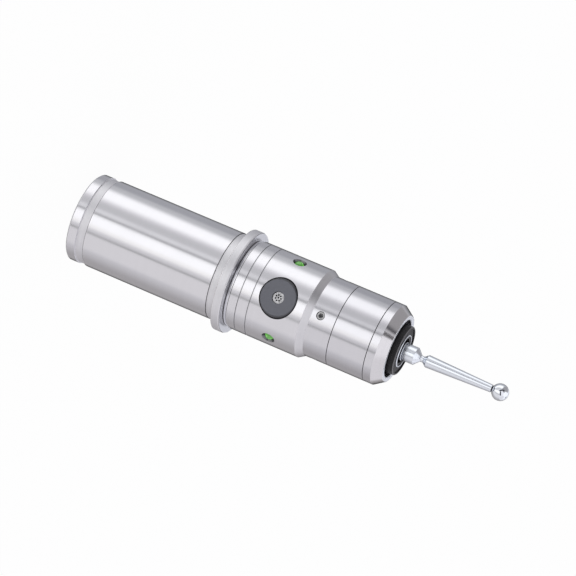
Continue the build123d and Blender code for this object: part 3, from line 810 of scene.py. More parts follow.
METALS = (
    TurnedMetal("ground_steel", (0.79, 0.785, 0.82), 0.97, 0.15, 0.19, 3.5e-4, 4e-7, 0.6),
    TurnedMetal("satin_steel", (0.79, 0.785, 0.82), 0.97, 0.17, 0.21, 5e-4, 5e-7, 0.6),
    TurnedMetal("front_steel", (0.745, 0.74, 0.78), 0.97, 0.17, 0.21, 5e-4, 5e-7, 0.6),
    TurnedMetal("matt_turned_steel", (0.84, 0.835, 0.865), 0.93, 0.5, 0.56, 4e-4, 3e-6, 0.3),
    TurnedMetal("taper_steel", (0.75, 0.745, 0.77), 0.95, 0.36, 0.4, 4e-4, 2e-6, 0.3),
    # Painted shade: steel darkened for the shade inside the lamp windows' countersinks.
    TurnedMetal("window_painted_shade", (0.22, 0.22, 0.23), 0.8, 0.3, 0.36, 4e-4, 1e-6),
    TurnedMetal("cone_steel", (0.79, 0.78, 0.80), 0.95, 0.14, 0.18, 4e-4, 1e-6, 0.4),
    TurnedMetal("rim_steel", (0.86, 0.88, 0.93), 0.97, 0.45, 0.5, 4e-4, 1e-6),
    TurnedMetal("flange_steel", (0.80, 0.81, 0.85), 0.95, 0.3, 0.36, 4e-4, 1.5e-6, 0.3),
    TurnedMetal("faced_steel", (0.70, 0.68, 0.67), 0.85, 0.22, 0.28, 4e-4, 1.5e-6, 0.3),
    # Partly real and partly painted shade: duller steel for bores, grooves and engraved lines,
    # darkened for the shade in them.
    TurnedMetal("bored_steel_and_shade", (0.42, 0.42, 0.44), 0.8, 0.35, 0.45, 4e-4, 3e-6, 0.2),
    TurnedMetal("joint_shadow", (0.13, 0.125, 0.13), 0.8, 0.5, 0.6, 4e-4, 1e-6),
    # The plug steel's last colour is a painted highlight on its edges.
    TurnedMetal(
        "plug_steel", (0.62, 0.62, 0.64), 0.88, 0.3, 0.38, 5e-4, 3e-6, 0.4, (0.88, 0.88, 0.9)
    ),
    TurnedMetal("faced_plug", (0.62, 0.62, 0.64), 0.88, 0.26, 0.34, 5e-4, 2e-6, 0.4),
    TurnedMetal("contact_brass", (0.83, 0.66, 0.33), 0.9, 0.22, 0.3, 4e-4, 1e-6, 0.2),
    TurnedMetal("spring_steel", (0.55, 0.55, 0.57), 0.85, 0.25, 0.33, 3e-4, 5e-7),
    TurnedMetal("blackened_screw", (0.56, 0.56, 0.57), 0.7, 0.3, 0.4, 3e-4, 2e-6, 0.2),
    # Painted shade: near-black steel for the walls of the hex sockets.
    TurnedMetal("socket_wall_painted_shade", (0.16, 0.16, 0.17), 0.8, 0.2, 0.26, 3e-4, 1e-6),
    TurnedMetal("polished_steel", (0.83, 0.865, 0.93), 0.98, 0.2, 0.24, 6e-4, 2e-7, 0.4),
    TurnedMetal("lapped_steel", (0.85, 0.88, 0.93), 0.99, 0.03, 0.045, 1e-3, 2e-8),
)
MOULDINGS = (
    Moulded(
        "disc_plastic", (0.135, 0.14, 0.165), (0.145, 0.15, 0.175), 0.38, 3e-4, 5e-7, 0.5, 0.05
    ),
    # Painted shade: darker copies of the disc plastic for its side and rounded edge, where shade
    # falls.
    Moulded("disc_side_painted_shade", (0.035, 0.035, 0.04), (0.04, 0.04, 0.045), 0.45, 3e-4, 5e-7, 0.4, 0.05),
    Moulded("disc_edge_painted_shade", (0.075, 0.077, 0.09), (0.08, 0.082, 0.095), 0.4, 3e-4, 5e-7, 0.5, 0.05),
    Moulded("grille_steel", (0.36, 0.36, 0.37), (0.78, 0.78, 0.8), 0.28, 6e-4, 3e-4, metallic=1.0),
    Moulded("black_plastic", (0.010, 0.0095, 0.011), (0.016, 0.015, 0.017), 0.42, 2e-4, 3e-6, 0.3),
    # Painted highlight: lighter plastic on the bumper's rounded rim.
    Moulded("bumper_rim_painted_highlight", (0.13, 0.125, 0.135), (0.16, 0.155, 0.165), 0.3, 3e-4, 2e-6),
    # Painted shade: near-black walls of the grille's holes.
    Moulded("hole_painted_shade", (0.006, 0.006, 0.006), (0.01, 0.01, 0.01), 0.7, 2e-4, 2e-6, 0.2),
    Moulded("black_rubber", (0.02, 0.02, 0.02), (0.03, 0.03, 0.03), 0.7, 2e-4, 5e-6, 0.3),
    Moulded("pale_nylon", (0.74, 0.72, 0.66), (0.66, 0.64, 0.58), 0.5, 4e-4, 5e-6),
    Moulded("cell_jacket", (0.12, 0.22, 0.31), (0.1, 0.18, 0.26), 0.3, 6e-4, 1e-6, coat=0.4),
    Moulded("board_green", (0.03, 0.2, 0.09), (0.02, 0.14, 0.06), 0.3, 8e-4, 4e-6, coat=0.3),
)
LENSES = (Lens("lamp_lens", (0.44, 0.90, 0.32), (0.25, 0.85, 0.12), 0.13),)
RENAMED_LOOKS = {"screw_steel": "blackened_screw", "mirror_steel": "lapped_steel"}


class Finishes:
    """Every material of the instrument, by name."""

    def __init__(self, effects: Effects) -> None:
        """Builds the materials from the shared groups."""
        looks = (*METALS, *MOULDINGS, *LENSES)
        self.by_name = {look.name: look.make(effects) for look in looks}

    def __getitem__(self, name: str) -> bpy.types.Material:
        """The material of that name."""
        return self.by_name[name]


# ---- Sub-assemblies ----


@dataclass
class SubAssembly:
    """A group of pieces that rides on one body.

    Attributes:
        looks: The materials.
        body: The body that the pieces ride on.
    """

    looks: Finishes
    body: str = "housing"

    def settle(self, piece: bpy.types.Object, slot: str, *nodes: str) -> bpy.types.Object:
        """Puts a finished piece on its body, in place of these nodes."""
        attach(piece, self.body)
        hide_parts(*nodes)
        LOG.info("%s on %s, %d faces", piece.name, self.body, len(piece.data.polygons))
        return piece

    def turned(
        self,
        name: str,
        corners: Sequence[Corner],
        coats: dict[Surface, str],
        sides: int = 192,
        place: Matrix | None = None,
        cutters: Sequence[bpy.types.Mesh] = (),
    ) -> bpy.types.Object:
        """Makes a turned piece with its materials and cuts.

        Args:
            name: Name of the piece.
            corners: Its profile.
            coats: The material of each surface.
            sides: Divisions round the axis.
            place: Moves the mesh.
            cutters: What is cut out of it.

        Returns:
            The piece, not yet on its body.
        """
        mesh, surfaces = turned_mesh(name, corners, sides, place)
        for surface in surfaces:
            mesh.materials.append(self.looks[coats[surface]])
        piece = shown(name, mesh)
        if cutters:
            carve(piece, cutters)
        use_exact_normals(piece.data)
        piece.data.name = name
        return piece

    def cutter(
        self, corners: Sequence[Corner], look: str, place: Matrix | None = None, sides: int = 64
    ) -> bpy.types.Mesh:
        """A solid to cut with.

        Args:
            corners: Profile from the axis back to the axis.
            look: Material that the cut shows.
            place: Moves it.
            sides: Divisions round its axis.

        Returns:
            The mesh.
        """
        mesh, _ = turned_mesh("cutter", corners, sides, place)
        mesh.polygons.foreach_set("material_index", [0] * len(mesh.polygons))
        mesh.materials.append(self.looks[look])
        return mesh

    def drill(
        self, radius: float, start: float, end: float, look: str, place: Matrix | None, sides: int
    ) -> bpy.types.Mesh:
        """A round cutter from one height to another."""
        corners = profile((0, start), (radius, start), (radius, end), (0, end))
        return self.cutter(corners, look, place, sides)


@dataclass
class Shank(SubAssembly):
    """Ground shank with its flange, groove, relief and battery chamber."""

    shank_r: float = 16.0
    rear_edge: float = 0.5
    ring_length: float = 3.6
    groove_end: float = 6.7
    groove_r: float = 15.55
    relief_r: float = 15.75
    relief_length: float = 3.4
    flange_r: float = 18.65
    flange_thickness: float = 3.3
    flange_edge: tuple[float, float] = (0.6, 0.25)
    shoulder_r: float = 15.7
    shoulder_length: float = 1.2
    spigot_r: float = 13.8
    spigot_length: float = 7.0
    seal_floor_r: float = 12.6
    seal_ends: tuple[float, float] = (1.35, 2.65)
    chamber_r: float = 7.45
    chamber_z: float = 8.0
    thread_r: float = 9.05
    head_bore_r: float = 10.6
    head_seat_z: float = 3.0
    joint_edge: float = 0.15

    def build(self) -> None:
        """Makes the shank."""
        top = span("shank")[1]
        barrel_z = top - self.spigot_length
        shoulder_z = barrel_z - self.shoulder_length
        flange_z = shoulder_z - self.flange_thickness
        relief_z = flange_z - self.relief_length
        edge = self.joint_edge
        edge_length, edge_depth = self.flange_edge
        seal_low, seal_high = (barrel_z + offset for offset in self.seal_ends)
        corners = profile(
            Surface.FACED, (self.head_bore_r, 0, 0.12),
            Surface.EDGE, (self.shank_r - self.rear_edge, 0, 0.1),
            Surface.GROUND, (self.shank_r, self.rear_edge, 0.1),
            Surface.SATIN, (self.shank_r, self.ring_length, 0.05),
            (self.groove_r, self.ring_length + edge / 2, 0.05),
            Surface.JOINT, (self.groove_r, self.groove_end, 0.05),
            (self.shank_r - edge, self.groove_end),
            Surface.GROUND, (self.shank_r, self.groove_end + edge, 0.05),
            Surface.JOINT, (self.shank_r, relief_z, 0.05),
            Surface.SATIN, (self.relief_r, relief_z + edge, 0.05),
            Surface.FACED, (self.relief_r, flange_z, 0.15),
            Surface.SATIN, (self.flange_r, flange_z, 0.15),
            Surface.EDGE, (self.flange_r, shoulder_z - edge_length, 0.08),
            Surface.BORED, (self.flange_r - 0.75 * edge_depth, shoulder_z - edge),
            Surface.FRONT, (self.flange_r - edge_depth, shoulder_z, 0.03),
            Surface.JOINT, (self.shoulder_r, shoulder_z),
            Surface.GROUND, (self.shoulder_r, shoulder_z + 2 * edge),
            Surface.FACED, (self.shoulder_r, barrel_z, 0.1),
            Surface.SATIN, (self.spigot_r, barrel_z), (self.spigot_r, seal_low),
            (self.seal_floor_r, seal_low), (self.seal_floor_r, seal_high),
            (self.spigot_r, seal_high),
            Surface.BORED, (self.spigot_r, top, 0.1), (self.chamber_r, top),
            (self.chamber_r, self.chamber_z), (self.thread_r, self.chamber_z),
            (self.thread_r, self.head_seat_z), (self.head_bore_r, self.head_seat_z),
        )  # fmt: skip
        coats = {
            Surface.GROUND: "ground_steel",
            Surface.SATIN: "matt_turned_steel",
            Surface.FACED: "faced_steel",
            Surface.BORED: "bored_steel_and_shade",
            Surface.JOINT: "joint_shadow",
            Surface.EDGE: "matt_turned_steel",
            Surface.FRONT: "flange_steel",
        }
        self.settle(self.turned("shank_turned", corners, coats, 256), "ground_steel", "shank")


@dataclass
class BatteryPlug(SubAssembly):
    """Plug that screws into the rear, with a coin slot and a groove for its seal."""

    body: str = "plug"
    head_r: float = 10.4
    head_thickness: float = 2.4
    head_edge: float = 0.25
    seal_floor_r: float = 9.4
    seal_half: float = 0.65
    thread_r: float = 9.0
    thread_pitch: float = 1.5
    thread_depth: float = 0.7
    thread_rings: int = 45
    thread_steepness: float = 2.4
    thread_runout: float = 0.4
    stem_bore_r: float = 1.25
    stem_length: float = 2.6
    slot_width: float = 2.0
    slot_length: float = 13.0
    slot_depth: float = 1.4

    def build(self) -> None:
        """Makes the plug."""
        low, high = span("battery_plug")
        seat_z = low + self.head_thickness
        seal_z = low + self.head_thickness / 2
        seal_low, seal_high = seal_z - self.seal_half, seal_z + self.seal_half
        stem_z = high - self.stem_length
        rise = (high - seat_z) / self.thread_rings
        corners = profile(
            Surface.FACED, (0, low),
            Surface.EDGE, (self.head_r - self.head_edge, low, 0.08),
            Surface.SATIN, (self.head_r, low + self.head_edge, 0.08),
            (self.head_r, seal_low, 0.04), (self.seal_floor_r, seal_low),
            (self.seal_floor_r, seal_high), (self.head_r, seal_high, 0.04),
            (self.head_r, seat_z, 0.04),
            *((self.thread_r, seat_z + rise * ring) for ring in range(self.thread_rings + 1)),
            (self.stem_bore_r, high), (self.stem_bore_r, stem_z), (0, stem_z),
        )  # fmt: skip
        coats = {
            Surface.FACED: "faced_plug",
            Surface.SATIN: "faced_plug",
            Surface.EDGE: "polished_steel",
        }
        piece = self.turned("battery_plug_turned", corners, coats, cutters=[self.slot(low)])
        self.cut_thread(piece.data, seat_z, high)
        self.settle(piece, "plug_steel", "battery_plug")

    def slot(self, low: float) -> bpy.types.Mesh:
        """A round-ended bar that cuts the coin slot into the rear face at this height."""
        half = self.slot_width / 2
        mesh = self.drill(half, low - OVERCUT, low + self.slot_depth, "faced_plug", None, 62)
        shift = (self.slot_length / 2 - half) * MM
        for vertex in mesh.vertices:
            if vertex.co.xy.length > half * MM / 2:
                vertex.co.x += math.copysign(shift, vertex.co.x)
        return mesh

    def cut_thread(self, mesh: bpy.types.Mesh, low: float, high: float) -> None:
        """Presses the thread's helix into the plain shank of the plug.

        Args:
            mesh: The plug.
            low: Height where the thread starts.
            high: Height where it ends.
        """
        slack, start = 0.01, 0.05
        normals = [corner.vector.copy() for corner in mesh.corner_normals]
        moved = set()
        for vertex in mesh.vertices:
            reach = vertex.co.xy.length / MM
            height = vertex.co.z / MM
            if abs(reach - self.thread_r) > slack or height <= low + start:
                continue
            turn = math.atan2(vertex.co.y, vertex.co.x) / FULL_TURN
            phase = ((height - low) / self.thread_pitch - turn) % 1
            flank = min(1.0, self.thread_steepness * min(phase, 1 - phase))
            ends = ((high - height) / self.thread_runout + 0.5, (height - low) / self.thread_runout)
            vertex.co.xy *= 1 - self.thread_depth * (1 - flank) * min(1.0, *ends) / reach
            moved.add(vertex.index)
        mesh.update()
        for loop in mesh.loops:
            if loop.vertex_index in moved:
                normals[loop.index] = mesh.vertices[loop.vertex_index].normal.copy()
        mesh.normals_split_custom_set(normals)


@dataclass
class Barrel(SubAssembly):
    """Body with lamp windows, the sounder's seat, engraved lines and the taper."""

    barrel_r: float = 16.15
    barrel_length: float = 26.6
    taper_length: float = 2.4
    front_r: float = 14.63
    spigot_bore_r: float = 13.85
    spigot_length: float = 7.2
    bore_r: float = 13.5
    bulkhead: tuple[float, float] = (27.0, 30.0)
    bush_r: float = 3.02
    pocket_r: float = 12.0
    line_offsets: tuple[float, float] = (3.4, 7.5)
    line_width: float = 0.3
    line_depth: float = 0.15
    joint_edge: float = 0.22
    feature_offset: float = 16.5
    window_bore_r: float = 1.72
    window_r: float = 2.42
    window_floor_r: float = 1.8
    window_depth: float = 1.2
    window_start: float = 12.5
    seat_r: float = 6.7
    seat_base_r: float = 7.75
    seat_depth: float = 3.5
    seat_face: float = 16.4
    rim_bore_r: float = 8.75
    screw_r: float = 1.52
    screw_offset: float = 3.2
    screw_start: float = 11.4
    clamp_hole_r: float = 1.6
    clamp_circle_r: float = 9.75

    def build(self) -> None:
        """Makes the body and cuts its openings."""
        low, high = span("body")
        taper_z = low + self.barrel_length
        front_z = taper_z + self.taper_length
        floor_z, pocket_z = (low + offset for offset in self.bulkhead)
        spigot_z = low + self.spigot_length
        edge, front_edge = self.joint_edge, self.joint_edge / 2
        half = self.line_width / 2
        lined = self.barrel_r - self.line_depth
        lines = []
        # Engraved lines take the bored steel, which carries painted shade in the groove.
        for line_z in (low + offset for offset in self.line_offsets):
            lines += [
                Surface.BORED, (self.barrel_r, line_z - half, 0.03), (lined, line_z - half, 0.03),
                (lined, line_z + half, 0.03), Surface.SATIN, (self.barrel_r, line_z + half, 0.03),
            ]  # fmt: skip
        corners = profile(
            Surface.FACED, (self.spigot_bore_r, low),
            Surface.JOINT, (self.barrel_r - edge, low, 0.06),
            Surface.SATIN, (self.barrel_r, low + edge, 0.06), *lines,
            Surface.GROUND, (self.barrel_r, taper_z, 0.12),
            Surface.FRONT, (self.front_r, front_z, 0.12),
            Surface.JOINT, (self.front_r, high - front_edge, 0.03),
            Surface.FACED, (self.front_r - front_edge, high, 0.03),
            Surface.BLACK, (self.pocket_r, high), (self.pocket_r, pocket_z),
            (self.bush_r, pocket_z), (self.bush_r, floor_z), (self.bore_r, floor_z),
            (self.bore_r, spigot_z), (self.spigot_bore_r, spigot_z),
        )  # fmt: skip
        coats = {
            Surface.SATIN: "satin_steel",
            Surface.GROUND: "taper_steel",
            Surface.FACED: "faced_steel",
            Surface.BORED: "bored_steel_and_shade",
            Surface.FRONT: "front_steel",
            Surface.BLACK: "bored_steel_and_shade",
            Surface.JOINT: "joint_shadow",
        }
        cutters = self.openings(low + self.feature_offset)
        for quarter in QUARTERS:
            place = facing(quarter, front_z + self.screw_offset)
            cutters.append(
                self.drill(
                    self.screw_r, self.screw_start, self.barrel_r, "joint_shadow", place, 48
                )
            )
        for turn in (math.radians(quarter + 45) for quarter in QUARTERS):
            spot = Vector((math.cos(turn), math.sin(turn), 0)) * self.clamp_circle_r * MM
            ends = (floor_z - OVERCUT, pocket_z + OVERCUT)
            place = Matrix.Translation(spot)
            cutters.append(self.drill(self.clamp_hole_r, *ends, "bored_steel_and_shade", place, 24))
        piece = self.turned("body_turned", corners, coats, 256, cutters=cutters)
        self.settle(piece, "satin_steel", "body")

    def openings(self, height: float) -> list[bpy.types.Mesh]:
        """Cutters for the lamp windows and the sounder's seat, at this height."""
        slope = (self.window_r - self.window_floor_r) / self.window_depth
        floor, top = self.barrel_r - self.window_depth, self.barrel_r + self.window_depth
        window = profile(
            (0, self.window_start), (self.window_bore_r, self.window_start),
            (self.window_bore_r, floor), (self.window_floor_r, floor),
            (self.window_r + slope * self.window_depth, top), (0, top),
        )  # fmt: skip
        seat_z = self.seat_face - self.seat_depth
        seat = profile(
            (0, 0), (self.rim_bore_r, 0), (self.rim_bore_r, seat_z), (self.seat_base_r, seat_z),
            (self.seat_r, self.seat_face), (0, self.seat_face),
        )  # fmt: skip
        places = [facing(angle, height) for angle in LAMP_ANGLES]
        # The countersinks get the darkened steel of painted shade.
        cutters = [self.cutter(window, "window_painted_shade", place, 96) for place in places]
        return [*cutters, self.cutter(seat, "joint_shadow", facing(0, height), 128)]


@dataclass
class SounderFront(SubAssembly):
    """The flat disc on its tapered plug and the perforated insert in it."""

    face_r: float = 6.4
    face: float = 16.4
    depth: float = 3.5
    slope: float = 0.3
    edge_r: float = 0.4
    rim_r: float = 8.6
    rim_thickness: float = 0.8
    well_r: float = 2.12
    well_depth: float = 1.0
    throat_r: float = 1.6
    grille_r: float = 2.1
    grille_recess: float = 0.5
    grille_thickness: float = 0.5
    hole_r: float = 0.3
    hole_circle_r: float = 1.0
    hole_count: int = 7

    def build(self) -> None:
        """Makes the disc and the insert."""
        place = facing(0, sum(span("sounder_disc")) / 2)
        rim_z = self.face - self.depth
        back_z = rim_z - self.rim_thickness
        well_z = self.face - self.well_depth
        corners = profile(
            Surface.BLACK, (self.throat_r, back_z), (self.rim_r, back_z, 0.1),
            (self.rim_r, rim_z, 0.1), (self.face_r + self.slope * self.depth, rim_z, 0.05),
            Surface.EDGE, (self.face_r + self.slope * self.edge_r, self.face - self.edge_r),
            Surface.FACED, (self.face_r, self.face, self.edge_r),
            Surface.BLACK, (self.well_r, self.face, 0.06), (self.well_r, well_z),
            (self.throat_r, well_z),
        )  # fmt: skip
        # The side, back and well get the darkest painted shade, the rounded edge a lighter one.
        coats = {
            Surface.BLACK: "disc_side_painted_shade",
            Surface.EDGE: "disc_edge_painted_shade",
            Surface.FACED: "disc_plastic",
        }
        disc = self.turned("sounder_disc_moulded", corners, coats, 128, place)
        self.settle(disc, "disc_plastic", "sounder_disc")
        self.build_grille(place)

    def build_grille(self, place: Matrix) -> None:
        """Makes the perforated insert in the disc's frame."""
        front = self.face - self.grille_recess
        back = front - self.grille_thickness
        corners = profile(
            (0, back), (self.grille_r, back, 0.05), (self.grille_r, front, 0.12), (0, front)
        )
        spots = [(0.0, 0.0)]
        for index in range(self.hole_count):
            turn = FULL_TURN * index / self.hole_count
            spots.append((self.hole_circle_r * math.cos(turn), self.hole_circle_r * math.sin(turn)))
        cutters = []
        for x, y in spots:
            spot = place @ Matrix.Translation((x * MM, y * MM, 0))
            ends = (back - OVERCUT, front + OVERCUT)
            # The hole walls get painted shade.
            cutters.append(self.drill(self.hole_r, *ends, "hole_painted_shade", spot, 20))
        coats = {Surface.SATIN: "grille_steel"}
        grille = self.turned("sounder_grille_punched", corners, coats, 96, place, cutters)
        self.settle(grille, "grille_steel", "sounder_grille")


@dataclass
class SetScrews(SubAssembly):
    """Socket set screws round the thinner front of the body."""

    screw_r: float = 1.5
    start: float = 11.4
    length: float = 2.9
    edge: float = 0.2
    socket: float = 1.5
    socket_depth: float = 1.2
    socket_point: float = 0.25
    sink_depth: float = 0.12
    sink_radii: tuple[float, float] = (-0.02, 0.24)

    def build(self) -> None:
        """Makes the four screws as one piece."""
        height = sum(span("adjusting_screws")) / 2
        end = self.start + self.length
        neck_r = self.screw_r - self.edge
        corners = profile(
            Surface.FACED, (0, self.start), (neck_r, self.start, 0.04),
            Surface.SATIN, (self.screw_r, self.start + self.edge, 0.04),
            (self.screw_r, end - self.edge, 0.04),
            Surface.FACED, (neck_r, end, 0.04), (0, end),
        )  # fmt: skip
        across = self.socket / math.sqrt(3)
        floor = end - self.socket_depth
        socket = profile(
            (0, floor - self.socket_point), (across, floor), (across, end + OVERCUT),
            (0, end + OVERCUT),
        )  # fmt: skip
        below, above = end - self.sink_depth, end + self.sink_depth
        inner, outer = (across + more for more in self.sink_radii)
        sink = profile((0, below), (inner, below), (outer, above), (0, above))
        coats = {Surface.FACED: "blackened_screw", Surface.SATIN: "joint_shadow"}
        screws = []
        for place in (facing(quarter, height) for quarter in QUARTERS):
            cutters = [
                # The socket walls get painted shade.
                self.cutter(socket, "socket_wall_painted_shade", place, 6),
                self.cutter(sink, "blackened_screw", place, 48),
            ]
            screws.append(self.turned("set_screw", corners, coats, 64, place, cutters))
        self.settle(joined_pieces("set_screws", screws), "screw_steel", "adjusting_screws")


@dataclass
class Lamps(SubAssembly):
    """Green lamps: epoxy lens with its rim, and the cup, post and leads in it."""

    nodes: tuple[str, str, str] = ("lamp_left", "lamp_right", "lamp_rear")
    lens_r: float = 1.68
    tip: float = 16.28
    length: float = 5.73
    dome_parts: int = 16
    rim_r: float = 1.9
    rim_thickness: float = 1.0
    cup_r: float = 0.95
    cup_wall: float = 0.12
    cup_height: float = 1.0
    cup_base: float = 1.5
    cup_floor: float = 0.25
    die: float = 0.3
    lead_r: float = 0.25
    lead_spacing: float = 2.54
    lead_reach: float = 1.8
    bend: float = 0.6
    whisker_r: float = 0.04

    def build(self) -> None:
        """Makes the lamps."""
        low, board_z = span("lamp_rear")
        height = low + self.rim_r
        for angle, node in zip(LAMP_ANGLES, self.nodes):
            place = facing(angle, height)
            self.build_lens(node, place)
            self.build_frame(f"{node}_frame", place, board_z - height)

    def build_lens(self, node: str, place: Matrix) -> None:
        """Makes the lens that stands for a node, in the lamp's frame."""
        base = self.tip - self.length
        rim = base + self.rim_thickness
        shoulder = self.tip - self.lens_r
        turns = [math.pi / 2 * part / self.dome_parts for part in range(self.dome_parts)]
        corners = profile(
            (0, base), (self.rim_r, base, 0.08), (self.rim_r, rim, 0.1), (self.lens_r, rim, 0.1),
            *(
                (self.lens_r * math.cos(turn), shoulder + self.lens_r * math.sin(turn))
                for turn in turns
            ),
            (0, self.tip),
        )  # fmt: skip
        lens = self.turned(f"{node}_lens", corners, {Surface.SATIN: "lamp_lens"}, 96, place)
        shade_as_ball(lens.data, place @ Vector((0, 0, shoulder * MM)), self.lens_r)
        self.settle(lens, "lamp_lens", node)

    def build_frame(self, name: str, place: Matrix, rise: float) -> None:
        """Makes the metal inside a lens, and its leads.

        Args:
            name: Name of the piece.
            place: The lamp's frame.
            rise: How far the leads rise to the board.
        """
        base = self.tip - self.length
        rim = base + self.rim_thickness
        seat = rim + self.cup_base
        floor = seat + self.cup_floor
        top = seat + self.cup_height
        cup = profile(
            (0, base + 0.3), (self.lead_r, base + 0.3), (self.lead_r, seat - 0.3, 0.1),
            (self.cup_r, seat + 0.1, 0.1), (self.cup_r, top, 0.05),
            Surface.EDGE, (self.cup_r - self.cup_wall, top, 0.05),
            Surface.FACED, (self.die, floor, 0.02), (0, floor),
        )  # fmt: skip
        coats = {
            Surface.SATIN: "spring_steel",
            Surface.EDGE: "polished_steel",
            Surface.FACED: "contact_brass",
        }
        pieces = [self.turned(name, cup, coats, 48, place)]
        half = self.lead_spacing / 2
        turn_at = base - self.lead_reach
        for y, start in ((-half, rim), (half, top - 0.2)):
            spots = ((0, y * 0.98, start), (0, y, base - 0.2), (0, y, turn_at), (rise, y, turn_at))
            pieces.append(self.wired(f"{name}_lead", spots, self.bend, self.lead_r, place, 12))
        spots = ((0, half * 0.85, top - 0.3), (0, half * 0.6, top + 0.45), (0, 0, seat + 0.3))
        pieces.append(self.wired(f"{name}_whisker", spots, 0.3, self.whisker_r, place, 8))
        self.settle(joined_pieces(name, pieces), "contact_brass")

    def wired(
        self,
        name: str,
        spots: Sequence[tuple[float, float, float]],
        bend: float,
        radius: float,
        place: Matrix,
        sides: int,
    ) -> bpy.types.Object:
        """Makes a piece of wire.

        Args:
            name: Name of the piece.
            spots: The corners of its middle line.
            bend: How far before and after a corner its bend reaches.
            radius: Its radius.
            place: Moves it.
            sides: Divisions round it.

        Returns:
            The piece, not yet on its body.
        """
        route = bent_route([Vector(spot) for spot in spots], bend)
        mesh = wire_mesh(name, route, radius, sides)
        mesh.transform(place)
        mesh.materials.append(self.looks["spring_steel"])
        return shown(name, mesh)


@dataclass(frozen=True)
class Coil:
    """A coil spring, with the joint that presses it.

    Attributes:
        node: The node that it stands for.
        coil_r: Radius of its middle line.
        wire_r: Radius of its wire.
        turns: Number of turns.
        keep: Share of its length that is left at the end of the travel; not used.
        joint: The joint that presses it; not used.
        body: The body that it rests on.
        spare: How far its free end stays off the piece that presses it.
    """

    node: str
    coil_r: float
    wire_r: float
    turns: float
    keep: float
    joint: str = "over_travel"
    body: str = "housing"
    spare: float = 0.0


@dataclass
class Springs(SubAssembly):
    """Coil springs behind the sleeve, on the contact stud and under the tilting hub."""

    coils: tuple[Coil, ...] = (
        Coil("return_spring", 6.9, 0.45, 6.5, 0.62),
        Coil("contact_spring", 1.4, 0.2, 8.5, 0.67, spare=0.3),
        Coil("centring_spring", 6.1, 0.3, 2.8, 0.57, "tilt_x", "sleeve"),
    )

    def build(self) -> None:
        """Makes the springs."""
        for coil in self.coils:
            self.body = coil.body
            name = f"{coil.node}_coil"
            low, high = span(coil.node)
            ends = (low + coil.wire_r, high - coil.wire_r - coil.spare)
            mesh = wire_mesh(name, coil_route(coil.coil_r, *ends, coil.turns), coil.wire_r)
            mesh.materials.append(self.looks["spring_steel"])
            spring = self.settle(shown(name, mesh), "spring_steel", coil.node)
            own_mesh(spring)


@dataclass
class Nose(SubAssembly):
    """Seat housing and the cone-shaped cap."""

    front_r: float = 14.63
    joint_edge: float = 0.13
    spigot_play_r: float = 11.4
    back_r: float = 3.8
    slide_r: float = 12.2
    cap_spigot_r: float = 13.415
    cap_play: float = 0.02
    floor_length: float = 1.8
    spring_bore_r: float = 8.0
    spring_floor: float = 1.2
    cap_face_r: float = 12.2
    cap_land: float = 3.0
    hole_r: float = 10.5
    hole_edge: float = 0.3

    def build(self) -> None:
        """Makes the housing and the cap."""
        back, housing_top = span("seat_housing")
        cap_z, nose_z = span("nose_cap")
        housing_z = span("body")[1]
        floor_z = housing_z + self.floor_length
        spring_z = back + self.spring_floor
        cone_z = cap_z + self.cap_land
        edge = self.joint_edge
        cap_r = self.cap_spigot_r + self.cap_play
        housing = profile(
            Surface.BORED, (self.back_r, back), (self.spigot_play_r, back),
            (self.spigot_play_r, housing_z),
            Surface.JOINT, (self.front_r - edge, housing_z, 0.06),
            Surface.FRONT, (self.front_r, housing_z + edge, 0.06),
            Surface.JOINT, (self.front_r, cap_z - edge, 0.06),
            Surface.BORED, (self.front_r - edge, cap_z, 0.06), (self.cap_spigot_r, cap_z),
            (self.cap_spigot_r, housing_top), (self.slide_r, housing_top), (self.slide_r, floor_z),
            (self.spring_bore_r, floor_z), (self.spring_bore_r, spring_z), (self.back_r, spring_z),
        )  # fmt: skip
        cap = profile(
            Surface.BORED, (cap_r, cap_z),
            Surface.JOINT, (self.front_r - edge, cap_z, 0.06),
            Surface.FRONT, (self.front_r, cap_z + edge, 0.06),
            Surface.GROUND, (self.front_r, cone_z, 0.1),
            Surface.EDGE, (self.cap_face_r, nose_z, 0.3),
            (self.hole_r + self.hole_edge, nose_z, 0.2),
            Surface.BORED, (self.hole_r, nose_z - self.hole_edge, 0.06), (self.hole_r, cone_z),
            (cap_r, cone_z),
        )  # fmt: skip
        coats = {
            Surface.FRONT: "front_steel",
            Surface.GROUND: "cone_steel",
            Surface.EDGE: "rim_steel",
            Surface.JOINT: "joint_shadow",
            Surface.BORED: "bored_steel_and_shade",
        }
        for node, corners in (("seat_housing", housing), ("nose_cap", cap)):
            piece = self.turned(f"{node}_turned", corners, coats, 256)
            self.settle(piece, "satin_steel", node)


